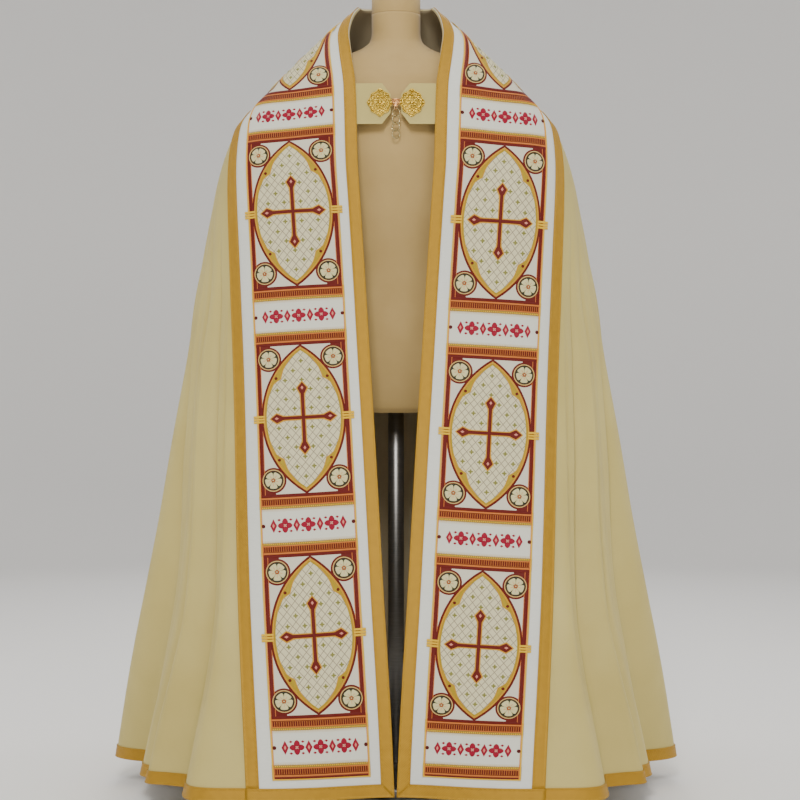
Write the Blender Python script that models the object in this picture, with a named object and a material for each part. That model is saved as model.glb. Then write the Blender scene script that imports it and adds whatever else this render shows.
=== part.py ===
"""Cope vestment on a dress form. Metres, +Z up, front towards -Y, +X the wearer's left.

The cloth is worked out from horizontal ring sections: each ring runs from the open front
edge round the side to the centre back. The ornamented band is a straight strip that follows
the front edge up, crosses the shoulder and goes round the neck.
"""

import bpy
import numpy as np
from math import cos, pi, radians, sin
from mathutils import Vector
from mathutils.bvhtree import BVHTree

for old in list(bpy.data.objects):
    bpy.data.objects.remove(old, do_unlink=True)

collection = bpy.data.collections.new("cope_vestment")
bpy.context.scene.collection.children.link(collection)

# Driving sizes
HEM_Z = 0.05
NECK_Z = 1.554
BACK_NECK_RISE = 0.013
BAND_WIDTH = 0.268
BRAID_WIDTH = 0.024
PANEL_START = 0.044
PANEL_END = 0.2225
WALL = 0.002
GAP = 0.0003
BAND_CLOTH = 0.0012
PANEL_CLOTH = 0.001
BRAID_CLOTH = 0.0012
EDGE_GAP = 0.0002

# One row per ring, from the hem up. gap and edge_y place the front edge, mid_y is the ring's
# centre, front, half_width and back are its depths and width, square its front exponent, and
# fan draws the folds towards the band.
SECTION_COLUMNS = ("z", "gap", "edge_y", "mid_y", "front", "half_width", "back", "square", "fan")
SECTIONS = np.array([
    (0.050, 0.0018, -0.400, 0.010, 0.505, 0.561, 0.450, 2.3, 1.00),
    (0.150, 0.0060, -0.396, 0.006, 0.482, 0.543, 0.440, 2.3, 1.08),
    (0.260, 0.0120, -0.388, 0.002, 0.452, 0.523, 0.428, 2.3, 1.20),
    (0.400, 0.0210, -0.365, -0.004, 0.415, 0.497, 0.410, 2.3, 1.35),
    (0.545, 0.0294, -0.333, -0.010, 0.368, 0.470, 0.388, 2.3, 1.40),
    (0.690, 0.0381, -0.292, -0.016, 0.315, 0.445, 0.362, 2.3, 1.42),
    (0.840, 0.0481, -0.240, -0.024, 0.252, 0.418, 0.334, 2.35, 1.50),
    (1.000, 0.0585, -0.198, -0.034, 0.205, 0.391, 0.308, 2.5, 1.80),
    (1.150, 0.0687, -0.176, -0.052, 0.172, 0.362, 0.290, 2.5, 1.90),
    (1.231, 0.0740, -0.162, -0.060, 0.148, 0.342, 0.278, 2.3, 1.50),
    (1.294, 0.0757, -0.148, -0.062, 0.126, 0.317, 0.262, 2.1, 1.00),
    (1.376, 0.0783, -0.122, -0.046, 0.106, 0.249, 0.218, 2.0, 1.00),
    (1.454, 0.0886, -0.088, -0.022, 0.090, 0.178, 0.166, 2.0, 1.00),
    (1.492, 0.0930, -0.066, -0.010, 0.082, 0.142, 0.136, 2.0, 1.00),
    (1.515, 0.0900, -0.048, -0.006, 0.072, 0.117, 0.118, 2.0, 1.00),
    (1.535, 0.0840, -0.029, -0.002, 0.066, 0.094, 0.102, 2.0, 1.00),
    (1.554, 0.0730, 0.000, 0.000, 0.060, 0.073, 0.085, 2.0, 1.00),
    (1.567, 0.0600, 0.026, 0.000, 0.056, 0.060, 0.074, 2.0, 1.00),
])

# One row per turn of the cloth from the band's outer edge (place 0) to the centre back
# (place 1): how far it stands out at the hem, and the level where the fold dies out.
FOLDS = np.array([
    (0.000, 0.000, 1.10),
    (0.063, 0.020, 1.00),
    (0.140, -0.050, 1.04),
    (0.203, -0.026, 1.12),
    (0.320, -0.066, 1.18),
    (0.393, 0.002, 1.22),
    (0.487, -0.066, 1.24),
    (0.580, 0.000, 1.22),
    (0.668, -0.054, 1.26),
    (0.755, 0.006, 1.24),
    (0.850, -0.060, 1.26),
    (0.930, 0.000, 1.22),
    (1.000, -0.030, 1.24),
])


def table(rows, columns):
    """Named columns of a table, with the slopes that keep a smooth curve between its rows."""
    x = rows[:, 0]
    found = {}
    for k, name in enumerate(columns[1:], 1):
        y = rows[:, k]
        steep = np.diff(y) / np.diff(x)
        slope = np.zeros(len(y))
        both = steep[:-1] * steep[1:] > 0
        total = np.where(both, steep[:-1] + steep[1:], 1.0)
        slope[1:-1] = np.where(both, 2 * steep[:-1] * steep[1:] / total, 0.0)
        slope[0] = steep[0]
        slope[-1] = steep[-1]
        found[name] = (x, y, slope)
    return found


def read(column, at):
    x, y, slope = column
    at = np.clip(at, x[0], x[-1])
    k = np.clip(np.searchsorted(x, at) - 1, 0, len(x) - 2)
    step = x[k + 1] - x[k]
    t = (at - x[k]) / step
    return ((1 + 2 * t) * (1 - t) ** 2 * y[k] + t * (1 - t) ** 2 * step * slope[k]
            + t * t * (3 - 2 * t) * y[k + 1] + t * t * (t - 1) * step * slope[k + 1])


def soft(t):
    t = np.clip(t, 0.0, 1.0)
    return t * t * (3 - 2 * t)


RING = table(SECTIONS, SECTION_COLUMNS)
SIDE = pi / 2
BACK_SQUARE = 2.1
DIP_SPAN = radians(38)


def plain_ring(z, angle):
    """Distance from the ring's centre, without folds; the angle is 0 in front, pi at the back."""
    front = angle < SIDE
    square = np.where(front, read(RING["square"], z), BACK_SQUARE)
    depth = np.where(front, read(RING["front"], z), read(RING["back"], z))
    across = np.abs(np.sin(angle)) / read(RING["half_width"], z)
    along = np.abs(np.cos(angle)) / depth
    return (across ** square + along ** square) ** (-1 / square)


def edge_polar(z):
    """Angle and distance of the front edge, from the ring's centre."""
    x = read(RING["gap"], z)
    y = read(RING["edge_y"], z) - read(RING["mid_y"], z)
    return np.arctan2(x, -y), np.hypot(x, y)


def unfolded(z, angle):
    edge_angle, edge_reach = edge_polar(z)
    start = np.minimum(edge_angle, SIDE)
    dip = edge_reach - plain_ring(z, start)
    return plain_ring(z, angle) + dip * (1 - soft((angle - start) / DIP_SPAN))


def fold_depth(z, place):
    """How far the cloth stands out from the plain ring at a place between band and back."""
    place = np.clip(place, 0.0, 1.0)
    x, reach, top = FOLDS.T
    k = np.clip(np.searchsorted(x, place) - 1, 0, len(x) - 2)
    t = soft((place - x[k]) / (x[k + 1] - x[k]))
    fade = [np.clip((top[n] - z) / (top[n] - HEM_Z), 0.0, 1.0) ** 1.15 for n in (k, k + 1)]
    return (1 - t) * reach[k] * fade[0] + t * reach[k + 1] * fade[1]


# Arc distance from the front edge, at levels and angles, gives the band's lines
LEVELS = np.linspace(HEM_Z, NECK_Z, 260)
SWEEP = np.linspace(0.0, 1.0, 160)


def ring_xy(z, angle, reach):
    return np.stack([reach * np.sin(angle), read(RING["mid_y"], z) - reach * np.cos(angle)], -1)


def front_arcs():
    start = np.minimum(edge_polar(LEVELS)[0], SIDE)[:, None]
    angle = start + (SIDE - start) * SWEEP[None, :]
    level = np.repeat(LEVELS[:, None], len(SWEEP), 1)
    xy = ring_xy(level, angle, unfolded(level, angle))
    step = np.linalg.norm(np.diff(xy, axis=1), axis=2)
    return angle, np.concatenate([np.zeros((len(LEVELS), 1)), np.cumsum(step, 1)], 1)


ARC_ANGLE, ARC = front_arcs()


def angle_at(z, distance):
    """The angle at an arc distance from the front edge, up to the side of the ring."""
    at = np.clip((z - LEVELS[0]) / (LEVELS[1] - LEVELS[0]), 0, len(LEVELS) - 1.001)
    low = int(at)
    part = at - low
    found = [np.interp(distance, ARC[n], ARC_ANGLE[n]) for n in (low, low + 1)]
    return (1 - part) * found[0] + part * found[1]


def shoulder_level(distance):
    """The level where the front of the ring is this wide, which is where the strip turns back."""
    return float(np.interp(-distance, -ARC[:, -1][70:], LEVELS[70:]))


EDGE_POINTS = np.stack([read(RING["gap"], LEVELS), read(RING["edge_y"], LEVELS), LEVELS], -1)
EDGE_RUN = np.concatenate([[0.0], np.cumsum(np.linalg.norm(np.diff(EDGE_POINTS, axis=0), axis=1))])
BACK_ANGLES = np.linspace(SIDE, pi, 60)


def back_line(distance):
    """The strip's line at this distance from the neck edge, from the shoulder to centre back."""
    level = shoulder_level(distance)
    centre = NECK_Z + BACK_NECK_RISE - distance * 0.905
    z = level + (centre - level) * soft((BACK_ANGLES - SIDE) / SIDE)
    reach = unfolded(z, BACK_ANGLES)
    points = np.concatenate([ring_xy(z, BACK_ANGLES, reach), z[:, None]], 1)
    run = np.concatenate([[0.0], np.cumsum(np.linalg.norm(np.diff(points, axis=0), axis=1))])
    return points, run / run[-1], run[-1]


NECK_HALF = back_line(0.0)[2]
STRIP_LENGTH = NECK_HALF + EDGE_RUN[-1]
LEAN = 0.06
LEAN_FADE = 0.35


def strip_level(along, distance):
    """Level of a strip point in front: along is measured from the centre back to the hem."""
    turn = NECK_HALF + distance
    at_turn = EDGE_RUN[-1] - np.interp(shoulder_level(distance), LEVELS, EDGE_RUN) - distance
    past = soft((along - turn) / LEAN_FADE)
    to_hem = soft((STRIP_LENGTH - along) / LEAN_FADE)
    shift = (1 - past) * at_turn + past * LEAN * distance * to_hem
    return float(np.interp(STRIP_LENGTH - along - shift, EDGE_RUN, LEVELS))


def strip_point(along, distance):
    turn = NECK_HALF + distance
    if along < turn:
        points, part, _ = back_line(distance)
        at = 1 - along / turn
        return np.array([np.interp(at, part, points[:, k]) for k in range(3)])
    z = strip_level(along, distance)
    angle = angle_at(z, distance)
    x, y = ring_xy(z, angle, unfolded(z, angle))
    return np.array([x, y, z])


SHOULDER_Z = shoulder_level(BAND_WIDTH)
BACK_TOP = back_line(BAND_WIDTH)


def body_point(place, turn_angle, z_share):
    """A point below the band: place runs from band to back, z_share from hem to band."""
    top = np.interp(turn_angle, BACK_ANGLES, BACK_TOP[0][:, 2])
    z = HEM_Z + (top - HEM_Z) * z_share
    band_angle = angle_at(min(z, SHOULDER_Z), BAND_WIDTH)
    fan = read(RING["fan"], z)
    angle = band_angle + (pi - band_angle) * place ** fan
    reach = unfolded(z, angle) + fold_depth(z, place)
    x, y = ring_xy(z, angle, reach)
    return np.array([x, y, z])


# Lattice of the left half of the cope: across the strip, along it, and round the body
STRIP_LINES = [0.0, BRAID_WIDTH, PANEL_START, 0.1035, 0.163, PANEL_END, BAND_WIDTH - BRAID_WIDTH,
               BAND_WIDTH]
PANEL_LINES = slice(2, 6)
FRONT_LEVELS = [0.05, 0.074, 0.088, 0.22, 0.34, 0.47, 0.61, 0.75, 0.89, 1.02, 1.14, 1.24]
PARTS_PER_TURN = 3

places = [0.0]
for start, end in zip(FOLDS[:-1, 0], FOLDS[1:, 0]):
    places += [start + (end - start) * k / PARTS_PER_TURN for k in range(1, PARTS_PER_TURN + 1)]
places = np.array(places)
turn_angles = SIDE + SIDE * places
turn_parts = np.interp(turn_angles, BACK_ANGLES, BACK_TOP[1])
back_alongs = (NECK_HALF + BAND_WIDTH) * (1 - turn_parts)
front_alongs = []
for level in FRONT_LEVELS:
    run = np.interp(level, LEVELS, EDGE_RUN)
    front_alongs.append(STRIP_LENGTH - run)
alongs = np.array(front_alongs + list(back_alongs))
shoulder_row = len(FRONT_LEVELS)

strip = np.array([[strip_point(a, d) for d in STRIP_LINES] for a in alongs])
strip[0, :, 2] = HEM_Z

level_shares = (strip[:shoulder_row + 1, -1, 2] - HEM_Z) / (SHOULDER_Z - HEM_Z)
body = np.array([[body_point(p, a, share) for p, a in zip(places, turn_angles)]
                 for share in level_shares])
body[:, 0] = strip[:shoulder_row + 1, -1]
body[-1] = strip[shoulder_row:, -1]
strip[-1, :, 0] = 0.0
body[:, -1, 0] = 0.0


# Shells
def flipped(grid):
    """The same patch on the wearer's right, with its faces still outwards."""
    return (grid * np.array([-1.0, 1.0, 1.0]))[:, ::-1]


def welded(patches):
    points = []
    found = {}
    quads = []
    for patch in patches:
        rows, columns = patch.shape[:2]
        index = np.empty((rows, columns), int)
        for i in range(rows):
            for j in range(columns):
                key = tuple(np.round(patch[i, j] * 1e6).astype(int) + 0)
                if key not in found:
                    found[key] = len(points)
                    points.append(patch[i, j])
                index[i, j] = found[key]
        wearers_right = patch[..., 0].mean() < 0
        for i in range(rows - 1):
            for j in range(columns - 1):
                quad = (index[i, j], index[i, j + 1], index[i + 1, j + 1], index[i + 1, j])
                quads.append(quad if wearers_right else quad[1:] + quad[:1])
    return np.array(points), quads


def point_normals(points, quads):
    total = np.zeros_like(points)
    for quad in quads:
        a, b, c, d = points[list(quad)]
        total[list(quad)] += np.cross(c - a, d - b)
    return total / np.linalg.norm(total, axis=1)[:, None]


whole = [strip, body, flipped(strip), flipped(body)]
cloth_points, cloth_quads = welded(whole)
cloth_normals = point_normals(cloth_points, cloth_quads)


def normals_of(grid):
    """Each lattice point takes the normal of the nearest point of the whole cloth."""
    flat = grid.reshape(-1, 3)
    nearest = [int(np.argmin(((cloth_points - p) ** 2).sum(1))) for p in flat]
    return cloth_normals[nearest].reshape(grid.shape)


def material(name, colour, roughness, metallic=0.0):
    made = bpy.data.materials.new(name)
    made.use_nodes = True
    shader = made.node_tree.nodes["Principled BSDF"]
    shader.inputs["Base Color"].default_value = (*colour, 1.0)
    shader.inputs["Roughness"].default_value = roughness
    shader.inputs["Metallic"].default_value = metallic
    made.diffuse_color = (*colour, 1.0)
    return made


def add_object(name, points, faces, made, smooth=True):
    mesh = bpy.data.meshes.new(name)
    mesh.from_pydata([tuple(p) for p in points], [], [tuple(int(k) for k in f) for f in faces])
    mesh.materials.append(made)
    if smooth:
        mesh.shade_smooth()
    found = bpy.data.objects.new(name, mesh)
    collection.objects.link(found)
    return found


def shell(name, patches, low, high, made):
    """A closed cloth wall between two distances from the cope's outer face."""
    points, quads = welded(patches)
    normals = np.empty_like(points)
    for patch in patches:
        flat_normals = normals_of(patch).reshape(-1, 3)
        for p, n in zip(patch.reshape(-1, 3), flat_normals):
            normals[int(np.argmin(((points - p) ** 2).sum(1)))] = n
    count = len(points)
    faces = []
    for a, b, c, d in quads:
        faces += [(a, b, c), (a, c, d)]
        faces += [(c + count, b + count, a + count), (d + count, c + count, a + count)]
    sides = {}
    for quad in quads:
        for a, b in zip(quad, quad[1:] + quad[:1]):
            sides[(a, b)] = (b, a) not in sides
            if (b, a) in sides:
                sides[(b, a)] = False
    for (a, b), open_side in sides.items():
        if open_side:
            faces.append((b, a, a + count, b + count))
    both = np.concatenate([points + normals * high, points + normals * low])
    return add_object(name, both, faces, made)


def trimmed(grid, first=0.0, last=0.0, left=0.0, right=0.0):
    """The patch with its edges drawn in a little, so that neighbours don't touch."""
    found = grid.copy()
    for amount, row, inner in ((first, 0, 1), (last, -1, -2)):
        if amount:
            step = grid[inner] - grid[row]
            found[row] += step * amount / np.linalg.norm(step, axis=1)[:, None]
    for amount, column, inner in ((left, 0, 1), (right, -1, -2)):
        if amount:
            step = grid[:, inner] - grid[:, column]
            found[:, column] += step * amount / np.linalg.norm(step, axis=1)[:, None]
    return found


def pair(name, grid, low, high, made):
    shell(name + "_left", [grid], low, high, made)
    shell(name + "_right", [flipped(grid)], low, high, made)


# Body cloth: a half circle of cream-gold cloth, one piece
cream = material("cream_gold_cloth", (0.60, 0.53, 0.30), 0.6)
cope_body = shell("cope_body", whole, -WALL, 0.0, cream)

# Bands: ivory, down each front and round to the centre back
ivory = material("ivory_cloth", (0.68, 0.70, 0.62), 0.65)
band_low = 1.5 * GAP
band_high = band_low + BAND_CLOTH
pair("orphrey", trimmed(strip, last=EDGE_GAP, right=3 * EDGE_GAP), band_low, band_high, ivory)

# Embroidered panels, on the middle of each band
embroidery = material("embroidered_panel", (0.45, 0.22, 0.10), 0.7)
upper_low = band_high + 1.5 * GAP
PANEL_FOOT_ROW = 2
panel_grid = strip[PANEL_FOOT_ROW:, PANEL_LINES]
pair("panel", trimmed(panel_grid, last=EDGE_GAP), upper_low, upper_low + PANEL_CLOTH, embroidery)

# Gold braids along both edges of each band and round the hem
gold = material("gold_braid", (0.52, 0.33, 0.05), 0.45, 0.3)
braid_high = upper_low + BRAID_CLOTH
pair("inner_braid", trimmed(strip[:, :2], last=EDGE_GAP), upper_low, braid_high, gold)
pair("outer_braid", trimmed(strip[1:, -2:], first=EDGE_GAP, last=EDGE_GAP), upper_low, braid_high, gold)
pair("hem_braid", trimmed(strip[:2, 1:], left=2 * EDGE_GAP), upper_low, braid_high, gold)
hem_left = trimmed(body[:2], left=2 * EDGE_GAP)
shell("hem_braid_body", [hem_left, flipped(hem_left)], band_low, band_high, gold)

# Neck lining: a grey-brown facing inside the neck, where it shows
lining = material("neck_lining", (0.16, 0.13, 0.10), 0.8)
LINING_ROW = shoulder_row + 8
facing = strip[LINING_ROW:, :4]
lining_high = -WALL - GAP
lining_low = lining_high - BAND_CLOTH
neck_lining = shell("neck_lining", [facing, flipped(facing)], lining_low, lining_high, lining)

# Chest tabs: cream cloth, from inside each front edge to the clasp, with mitred ends
TAB_LOW_Z = 1.2995
TAB_HIGH_Z = 1.3825
TAB_OUTER_X = 0.094
TAB_END_X = 0.0100
TAB_CORNER_X = 0.0270
TAB_CLOTH = 0.0018
TAB_BULGE = 0.002
TAB_LEAN = 0.30
TAB_INSET = 0.0052
CHEST_Z = 0.5 * (TAB_LOW_Z + TAB_HIGH_Z)


def chest_y(x, z):
    """Front face of the tabs: bowed a little forward, and leaning back with the chest."""
    bow = TAB_BULGE * (1 - (x / TAB_OUTER_X) ** 2)
    return float(read(RING["edge_y"], CHEST_Z)) + TAB_INSET - bow + TAB_LEAN * (z - CHEST_Z)


def tab(name, side):
    half = 0.5 * (TAB_HIGH_Z - TAB_LOW_Z)
    points = []
    columns = 7
    for depth in (0.0, TAB_CLOTH):
        for share in (-1.0, -0.45, 0.45, 1.0):
            inner = TAB_CORNER_X if abs(share) > 0.9 else TAB_END_X
            for x in np.linspace(inner, TAB_OUTER_X, columns):
                z = CHEST_Z + share * half
                points.append((side * x, chest_y(x, z) + depth, z))
    per = 4 * columns
    faces = []
    for row in range(3):
        for k in range(columns - 1):
            a = row * columns + k
            faces.append((a, a + 1, a + columns + 1, a + columns))
            faces.append((a + per + columns, a + per + columns + 1, a + per + 1, a + per))
    rim = list(range(columns))
    rim += [row * columns + columns - 1 for row in (1, 2, 3)]
    rim += [3 * columns + k for k in range(columns - 2, -1, -1)] + [2 * columns, columns]
    for a, b in zip(rim, rim[1:] + rim[:1]):
        faces.append((b, a, a + per, b + per))
    if side < 0:
        faces = [face[::-1] for face in faces]
    add_object(name, points, faces, cream, smooth=False)


# Clasp: two gold halves sewn on the tabs, joined by a hook, with four rings below
CLASP_Z = 1.3430
CLASP_X = 0.0335
CLASP_HALF_WIDTH = 0.0240
CLASP_HALF_HEIGHT = 0.0285
CLASP_THICK = 0.0024
HOOK_HALF_WIDTH = 0.0086
HOOK_HEIGHT = 0.016
brass = material("gold_clasp", (0.62, 0.40, 0.08), 0.3, 0.9)
ring_gold = material("pale_gold_ring", (0.75, 0.66, 0.45), 0.3, 0.8)
CLASP_BACK_Y = chest_y(CLASP_X - CLASP_HALF_WIDTH, CLASP_Z) - GAP


def extruded(name, outline, made):
    """An outline in X and Z, anticlockwise from the front, made a plate that leans with the tabs."""
    count = len(outline)
    points = []
    for y in (CLASP_BACK_Y - CLASP_THICK, CLASP_BACK_Y):
        points += [(x, y + TAB_LEAN * (z - CLASP_Z), z) for x, z in outline]
    faces = [tuple(range(count)), tuple(range(2 * count - 1, count - 1, -1))]
    for k in range(count):
        n = (k + 1) % count
        faces.append((n, k, k + count, n + count))
    return add_object(name, points, faces, made, smooth=False)


def clasp_outline(centre_x):
    """A pointed four-lobed plate."""
    outline = []
    for k in range(40):
        turn = 2 * pi * k / 40
        lobe = 0.80 + 0.13 * cos(4 * turn) + 0.07 * cos(8 * turn)
        outline.append((centre_x + CLASP_HALF_WIDTH * lobe * cos(turn),
                        CLASP_Z + CLASP_HALF_HEIGHT * lobe * sin(turn)))
    return outline


def ring(name, centre, radius, wire, yaw, made, segments=16, sides=6):
    points = []
    faces = []
    for i in range(segments):
        a = 2 * pi * i / segments
        for j in range(sides):
            b = 2 * pi * j / sides
            out = radius + wire * cos(b)
            across = wire * sin(b)
            x, z = out * cos(a), out * sin(a)
            points.append((centre[0] + x * cos(yaw) - across * sin(yaw),
                           centre[1] + x * sin(yaw) + across * cos(yaw), centre[2] + z))
    for i in range(segments):
        for j in range(sides):
            i2 = (i + 1) % segments
            j2 = (j + 1) % sides
            faces.append((i * sides + j, i * sides + j2, i2 * sides + j2, i2 * sides + j))
    return add_object(name, points, faces, made)


tab("tab_left", 1)
tab("tab_right", -1)
for name, side in (("clasp_half_left", 1), ("clasp_half_right", -1)):
    extruded(name, clasp_outline(side * CLASP_X), brass)
hook_outline = [(-HOOK_HALF_WIDTH, CLASP_Z - 0.4 * HOOK_HEIGHT), (-0.0035, CLASP_Z - 0.5 * HOOK_HEIGHT),
                (0.0035, CLASP_Z - 0.5 * HOOK_HEIGHT), (HOOK_HALF_WIDTH, CLASP_Z - 0.4 * HOOK_HEIGHT),
                (HOOK_HALF_WIDTH, CLASP_Z + 0.4 * HOOK_HEIGHT), (0.0035, CLASP_Z + 0.5 * HOOK_HEIGHT),
                (-0.0035, CLASP_Z + 0.5 * HOOK_HEIGHT), (-HOOK_HALF_WIDTH, CLASP_Z + 0.4 * HOOK_HEIGHT)]
hook = extruded("clasp_hook", hook_outline, brass)
EYE_RADIUS = 0.0035
EYE_WIRE = 0.0008
RING_RADIUS = 0.0082
RING_WIRE = 0.0011
RING_COUNT = 4
RING_YAW = radians(28)
RING_PITCH = 2 * RING_RADIUS - 2 * RING_WIRE - GAP
chain_y = CLASP_BACK_Y - 0.5 * CLASP_THICK - 0.5 * TAB_LEAN * HOOK_HEIGHT
eye_z = CLASP_Z - 0.5 * HOOK_HEIGHT - 0.85 * EYE_RADIUS
pivot_z = eye_z - EYE_RADIUS + EYE_WIRE + RING_WIRE + GAP

cutters = bpy.data.collections.new("cutters")
bpy.context.scene.collection.children.link(cutters)
eye = ring("hook_eye", (0.0, chain_y, eye_z), EYE_RADIUS, EYE_WIRE, RING_YAW, brass)
collection.objects.unlink(eye)
cutters.objects.link(eye)
eye.hide_render = True
eye.display_type = "WIRE"
join = hook.modifiers.new("Eye", "BOOLEAN")
join.operation = "UNION"
join.solver = "EXACT"
join.object = eye

for n in range(RING_COUNT):
    centre = (0.0, chain_y, pivot_z - RING_RADIUS - n * RING_PITCH)
    ring(f"chain_ring_{n + 1}", centre, RING_RADIUS, RING_WIRE, RING_YAW * (1 if n % 2 else -1), ring_gold)

# Dress form: a smooth limbless torso in tan cloth; the cope rests on its shoulders
FORM_COLUMNS = ("z", "half_width", "front", "back", "mid_y")
FORM = np.array([
    (0.740, 0.150, 0.105, 0.112, 0.000),
    (0.752, 0.162, 0.113, 0.122, 0.000),
    (0.820, 0.172, 0.118, 0.130, 0.000),
    (0.900, 0.162, 0.114, 0.118, 0.000),
    (1.000, 0.142, 0.104, 0.096, 0.000),
    (1.060, 0.144, 0.108, 0.094, 0.000),
    (1.150, 0.166, 0.118, 0.106, 0.000),
    (1.240, 0.190, 0.116, 0.112, -0.004),
    (1.310, 0.208, 0.104, 0.108, -0.010),
    (1.350, 0.216, 0.090, 0.098, -0.016),
    (1.380, 0.219, 0.076, 0.086, -0.020),
    (1.402, 0.216, 0.068, 0.078, -0.020),
    (1.420, 0.210, 0.062, 0.072, -0.016),
    (1.436, 0.186, 0.058, 0.066, -0.011),
    (1.450, 0.130, 0.056, 0.061, -0.006),
    (1.460, 0.092, 0.054, 0.057, -0.003),
    (1.470, 0.069, 0.052, 0.054, -0.001),
    (1.484, 0.053, 0.0495, 0.0505, 0.000),
    (1.500, 0.049, 0.049, 0.049, 0.000),
    (1.538, 0.049, 0.049, 0.049, 0.000),
])
FORM_SIDES = 32
SEAT_GAP = 0.0014
SEAT_FROM_Z = 1.3
SEAT_TO_Z = 1.48
tan = material("tan_form_cover", (0.46, 0.31, 0.09), 0.7)
seats = [BVHTree.FromPolygons([v.co for v in cloth.data.vertices],
                              [tuple(f.vertices) for f in cloth.data.polygons])
         for cloth in (cope_body, neck_lining)]
form_points = []
for z, half_width, front, back, mid_y in FORM:
    for k in range(FORM_SIDES):
        turn = 2 * pi * k / FORM_SIDES
        depth = front if cos(turn) > 0 else back
        x = half_width * sin(turn)
        y = mid_y - depth * cos(turn)
        away = np.hypot(x, y - mid_y)
        if SEAT_FROM_Z < z < SEAT_TO_Z:
            outwards = Vector((x, y - mid_y, 0.0)) / away
            for seat in seats:
                found = seat.ray_cast(Vector((0.0, mid_y, z)), outwards, away + 0.02)
                if found[0] is not None:
                    clear = found[3] - SEAT_GAP / max(abs(found[1].dot(outwards)), 0.3)
                    away = min(away, clear)
            x = away * outwards.x
            y = mid_y + away * outwards.y
        form_points.append((x, y, z))
form_faces = [tuple(range(FORM_SIDES - 1, -1, -1))]
for row in range(len(FORM) - 1):
    for k in range(FORM_SIDES):
        n = (k + 1) % FORM_SIDES
        a = row * FORM_SIDES
        form_faces.append((a + k, a + n, a + n + FORM_SIDES, a + k + FORM_SIDES))
top_row = (len(FORM) - 1) * FORM_SIDES
form_faces.append(tuple(range(top_row, top_row + FORM_SIDES)))
add_object("form_torso", form_points, form_faces, tan)


def turned(name, profile, sides, made):
    """A solid of revolution about Z from its radius and height pairs."""
    points = []
    faces = []
    for radius, z in profile:
        for k in range(sides):
            points.append((radius * cos(2 * pi * k / sides), radius * sin(2 * pi * k / sides), z))
    for row in range(len(profile) - 1):
        for k in range(sides):
            n = (k + 1) % sides
            a = row * sides
            faces.append((a + k, a + n, a + n + sides, a + k + sides))
    faces.append(tuple(range(sides - 1, -1, -1)))
    top = (len(profile) - 1) * sides
    faces.append(tuple(range(top, top + sides)))
    return add_object(name, points, faces, made)


# Neck cap and stand: a covered cap on the neck, a steel pole and a round weighted foot
turned("form_neck_cap", [(0.049, 1.5383), (0.049, 1.590), (0.047, 1.596), (0.042, 1.600), (0.030, 1.603)],
       FORM_SIDES, tan)
steel = material("stand_steel", (0.20, 0.19, 0.18), 0.4, 0.7)
turned("stand_base", [(0.186, 0.0), (0.190, 0.004), (0.190, 0.016), (0.180, 0.024), (0.060, 0.030),
                      (0.030, 0.038)], 36, steel)
turned("stand_pole", [(0.016, 0.0383), (0.016, 0.7397)], 24, steel)
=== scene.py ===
"""A cope on a dress form: cream-gold cloth, embroidered bands, gold braids and a filigree clasp.

Metres, +Z up, front towards -Y, +X the wearer's left. Sections follow the order of making.
"""

from math import cos, pi, radians, sin

import bpy
import numpy as np
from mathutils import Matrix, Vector
from mathutils.bvhtree import BVHTree


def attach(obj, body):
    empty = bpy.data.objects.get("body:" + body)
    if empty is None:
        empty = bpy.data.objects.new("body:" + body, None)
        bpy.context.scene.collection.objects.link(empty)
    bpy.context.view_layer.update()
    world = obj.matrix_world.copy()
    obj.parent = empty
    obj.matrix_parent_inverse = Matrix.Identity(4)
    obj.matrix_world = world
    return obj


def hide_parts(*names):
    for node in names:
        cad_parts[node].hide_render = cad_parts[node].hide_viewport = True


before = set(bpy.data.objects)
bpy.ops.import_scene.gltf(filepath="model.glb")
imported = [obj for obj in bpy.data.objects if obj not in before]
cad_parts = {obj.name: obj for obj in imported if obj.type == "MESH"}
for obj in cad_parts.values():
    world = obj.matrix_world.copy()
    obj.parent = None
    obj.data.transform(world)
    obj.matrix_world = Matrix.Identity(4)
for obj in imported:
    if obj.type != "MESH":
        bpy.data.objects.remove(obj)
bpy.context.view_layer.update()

# ---- Viewpoint, floor and light
# A camera at chest height 3.8 m in front of the neck, with an 85 mm lens, over a plain pale
# floor that sweeps up behind. Large soft lamps stand left, right and overhead.
CAMERA_AT = (0.008, -3.80, 0.765)
LENS_MM = 85.0

camera = bpy.data.objects.new("camera", bpy.data.cameras.new("camera"))
bpy.context.scene.collection.objects.link(camera)
camera.location = CAMERA_AT
camera.rotation_euler = (radians(90), 0.0, 0.0)
camera.data.lens = LENS_MM
camera.data.sensor_width = 36.0
bpy.context.scene.camera = camera


def soft_lamp(name, at, aim, size, watts, colour):
    lamp = bpy.data.lights.new(name, "AREA")
    lamp.shape = "RECTANGLE"
    lamp.size, lamp.size_y = size
    lamp.energy = watts
    lamp.color = colour
    found = bpy.data.objects.new(name, lamp)
    found.location = at
    found.rotation_euler = (Vector(aim) - Vector(at)).to_track_quat("-Z", "Y").to_euler()
    bpy.context.scene.collection.objects.link(found)


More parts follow.
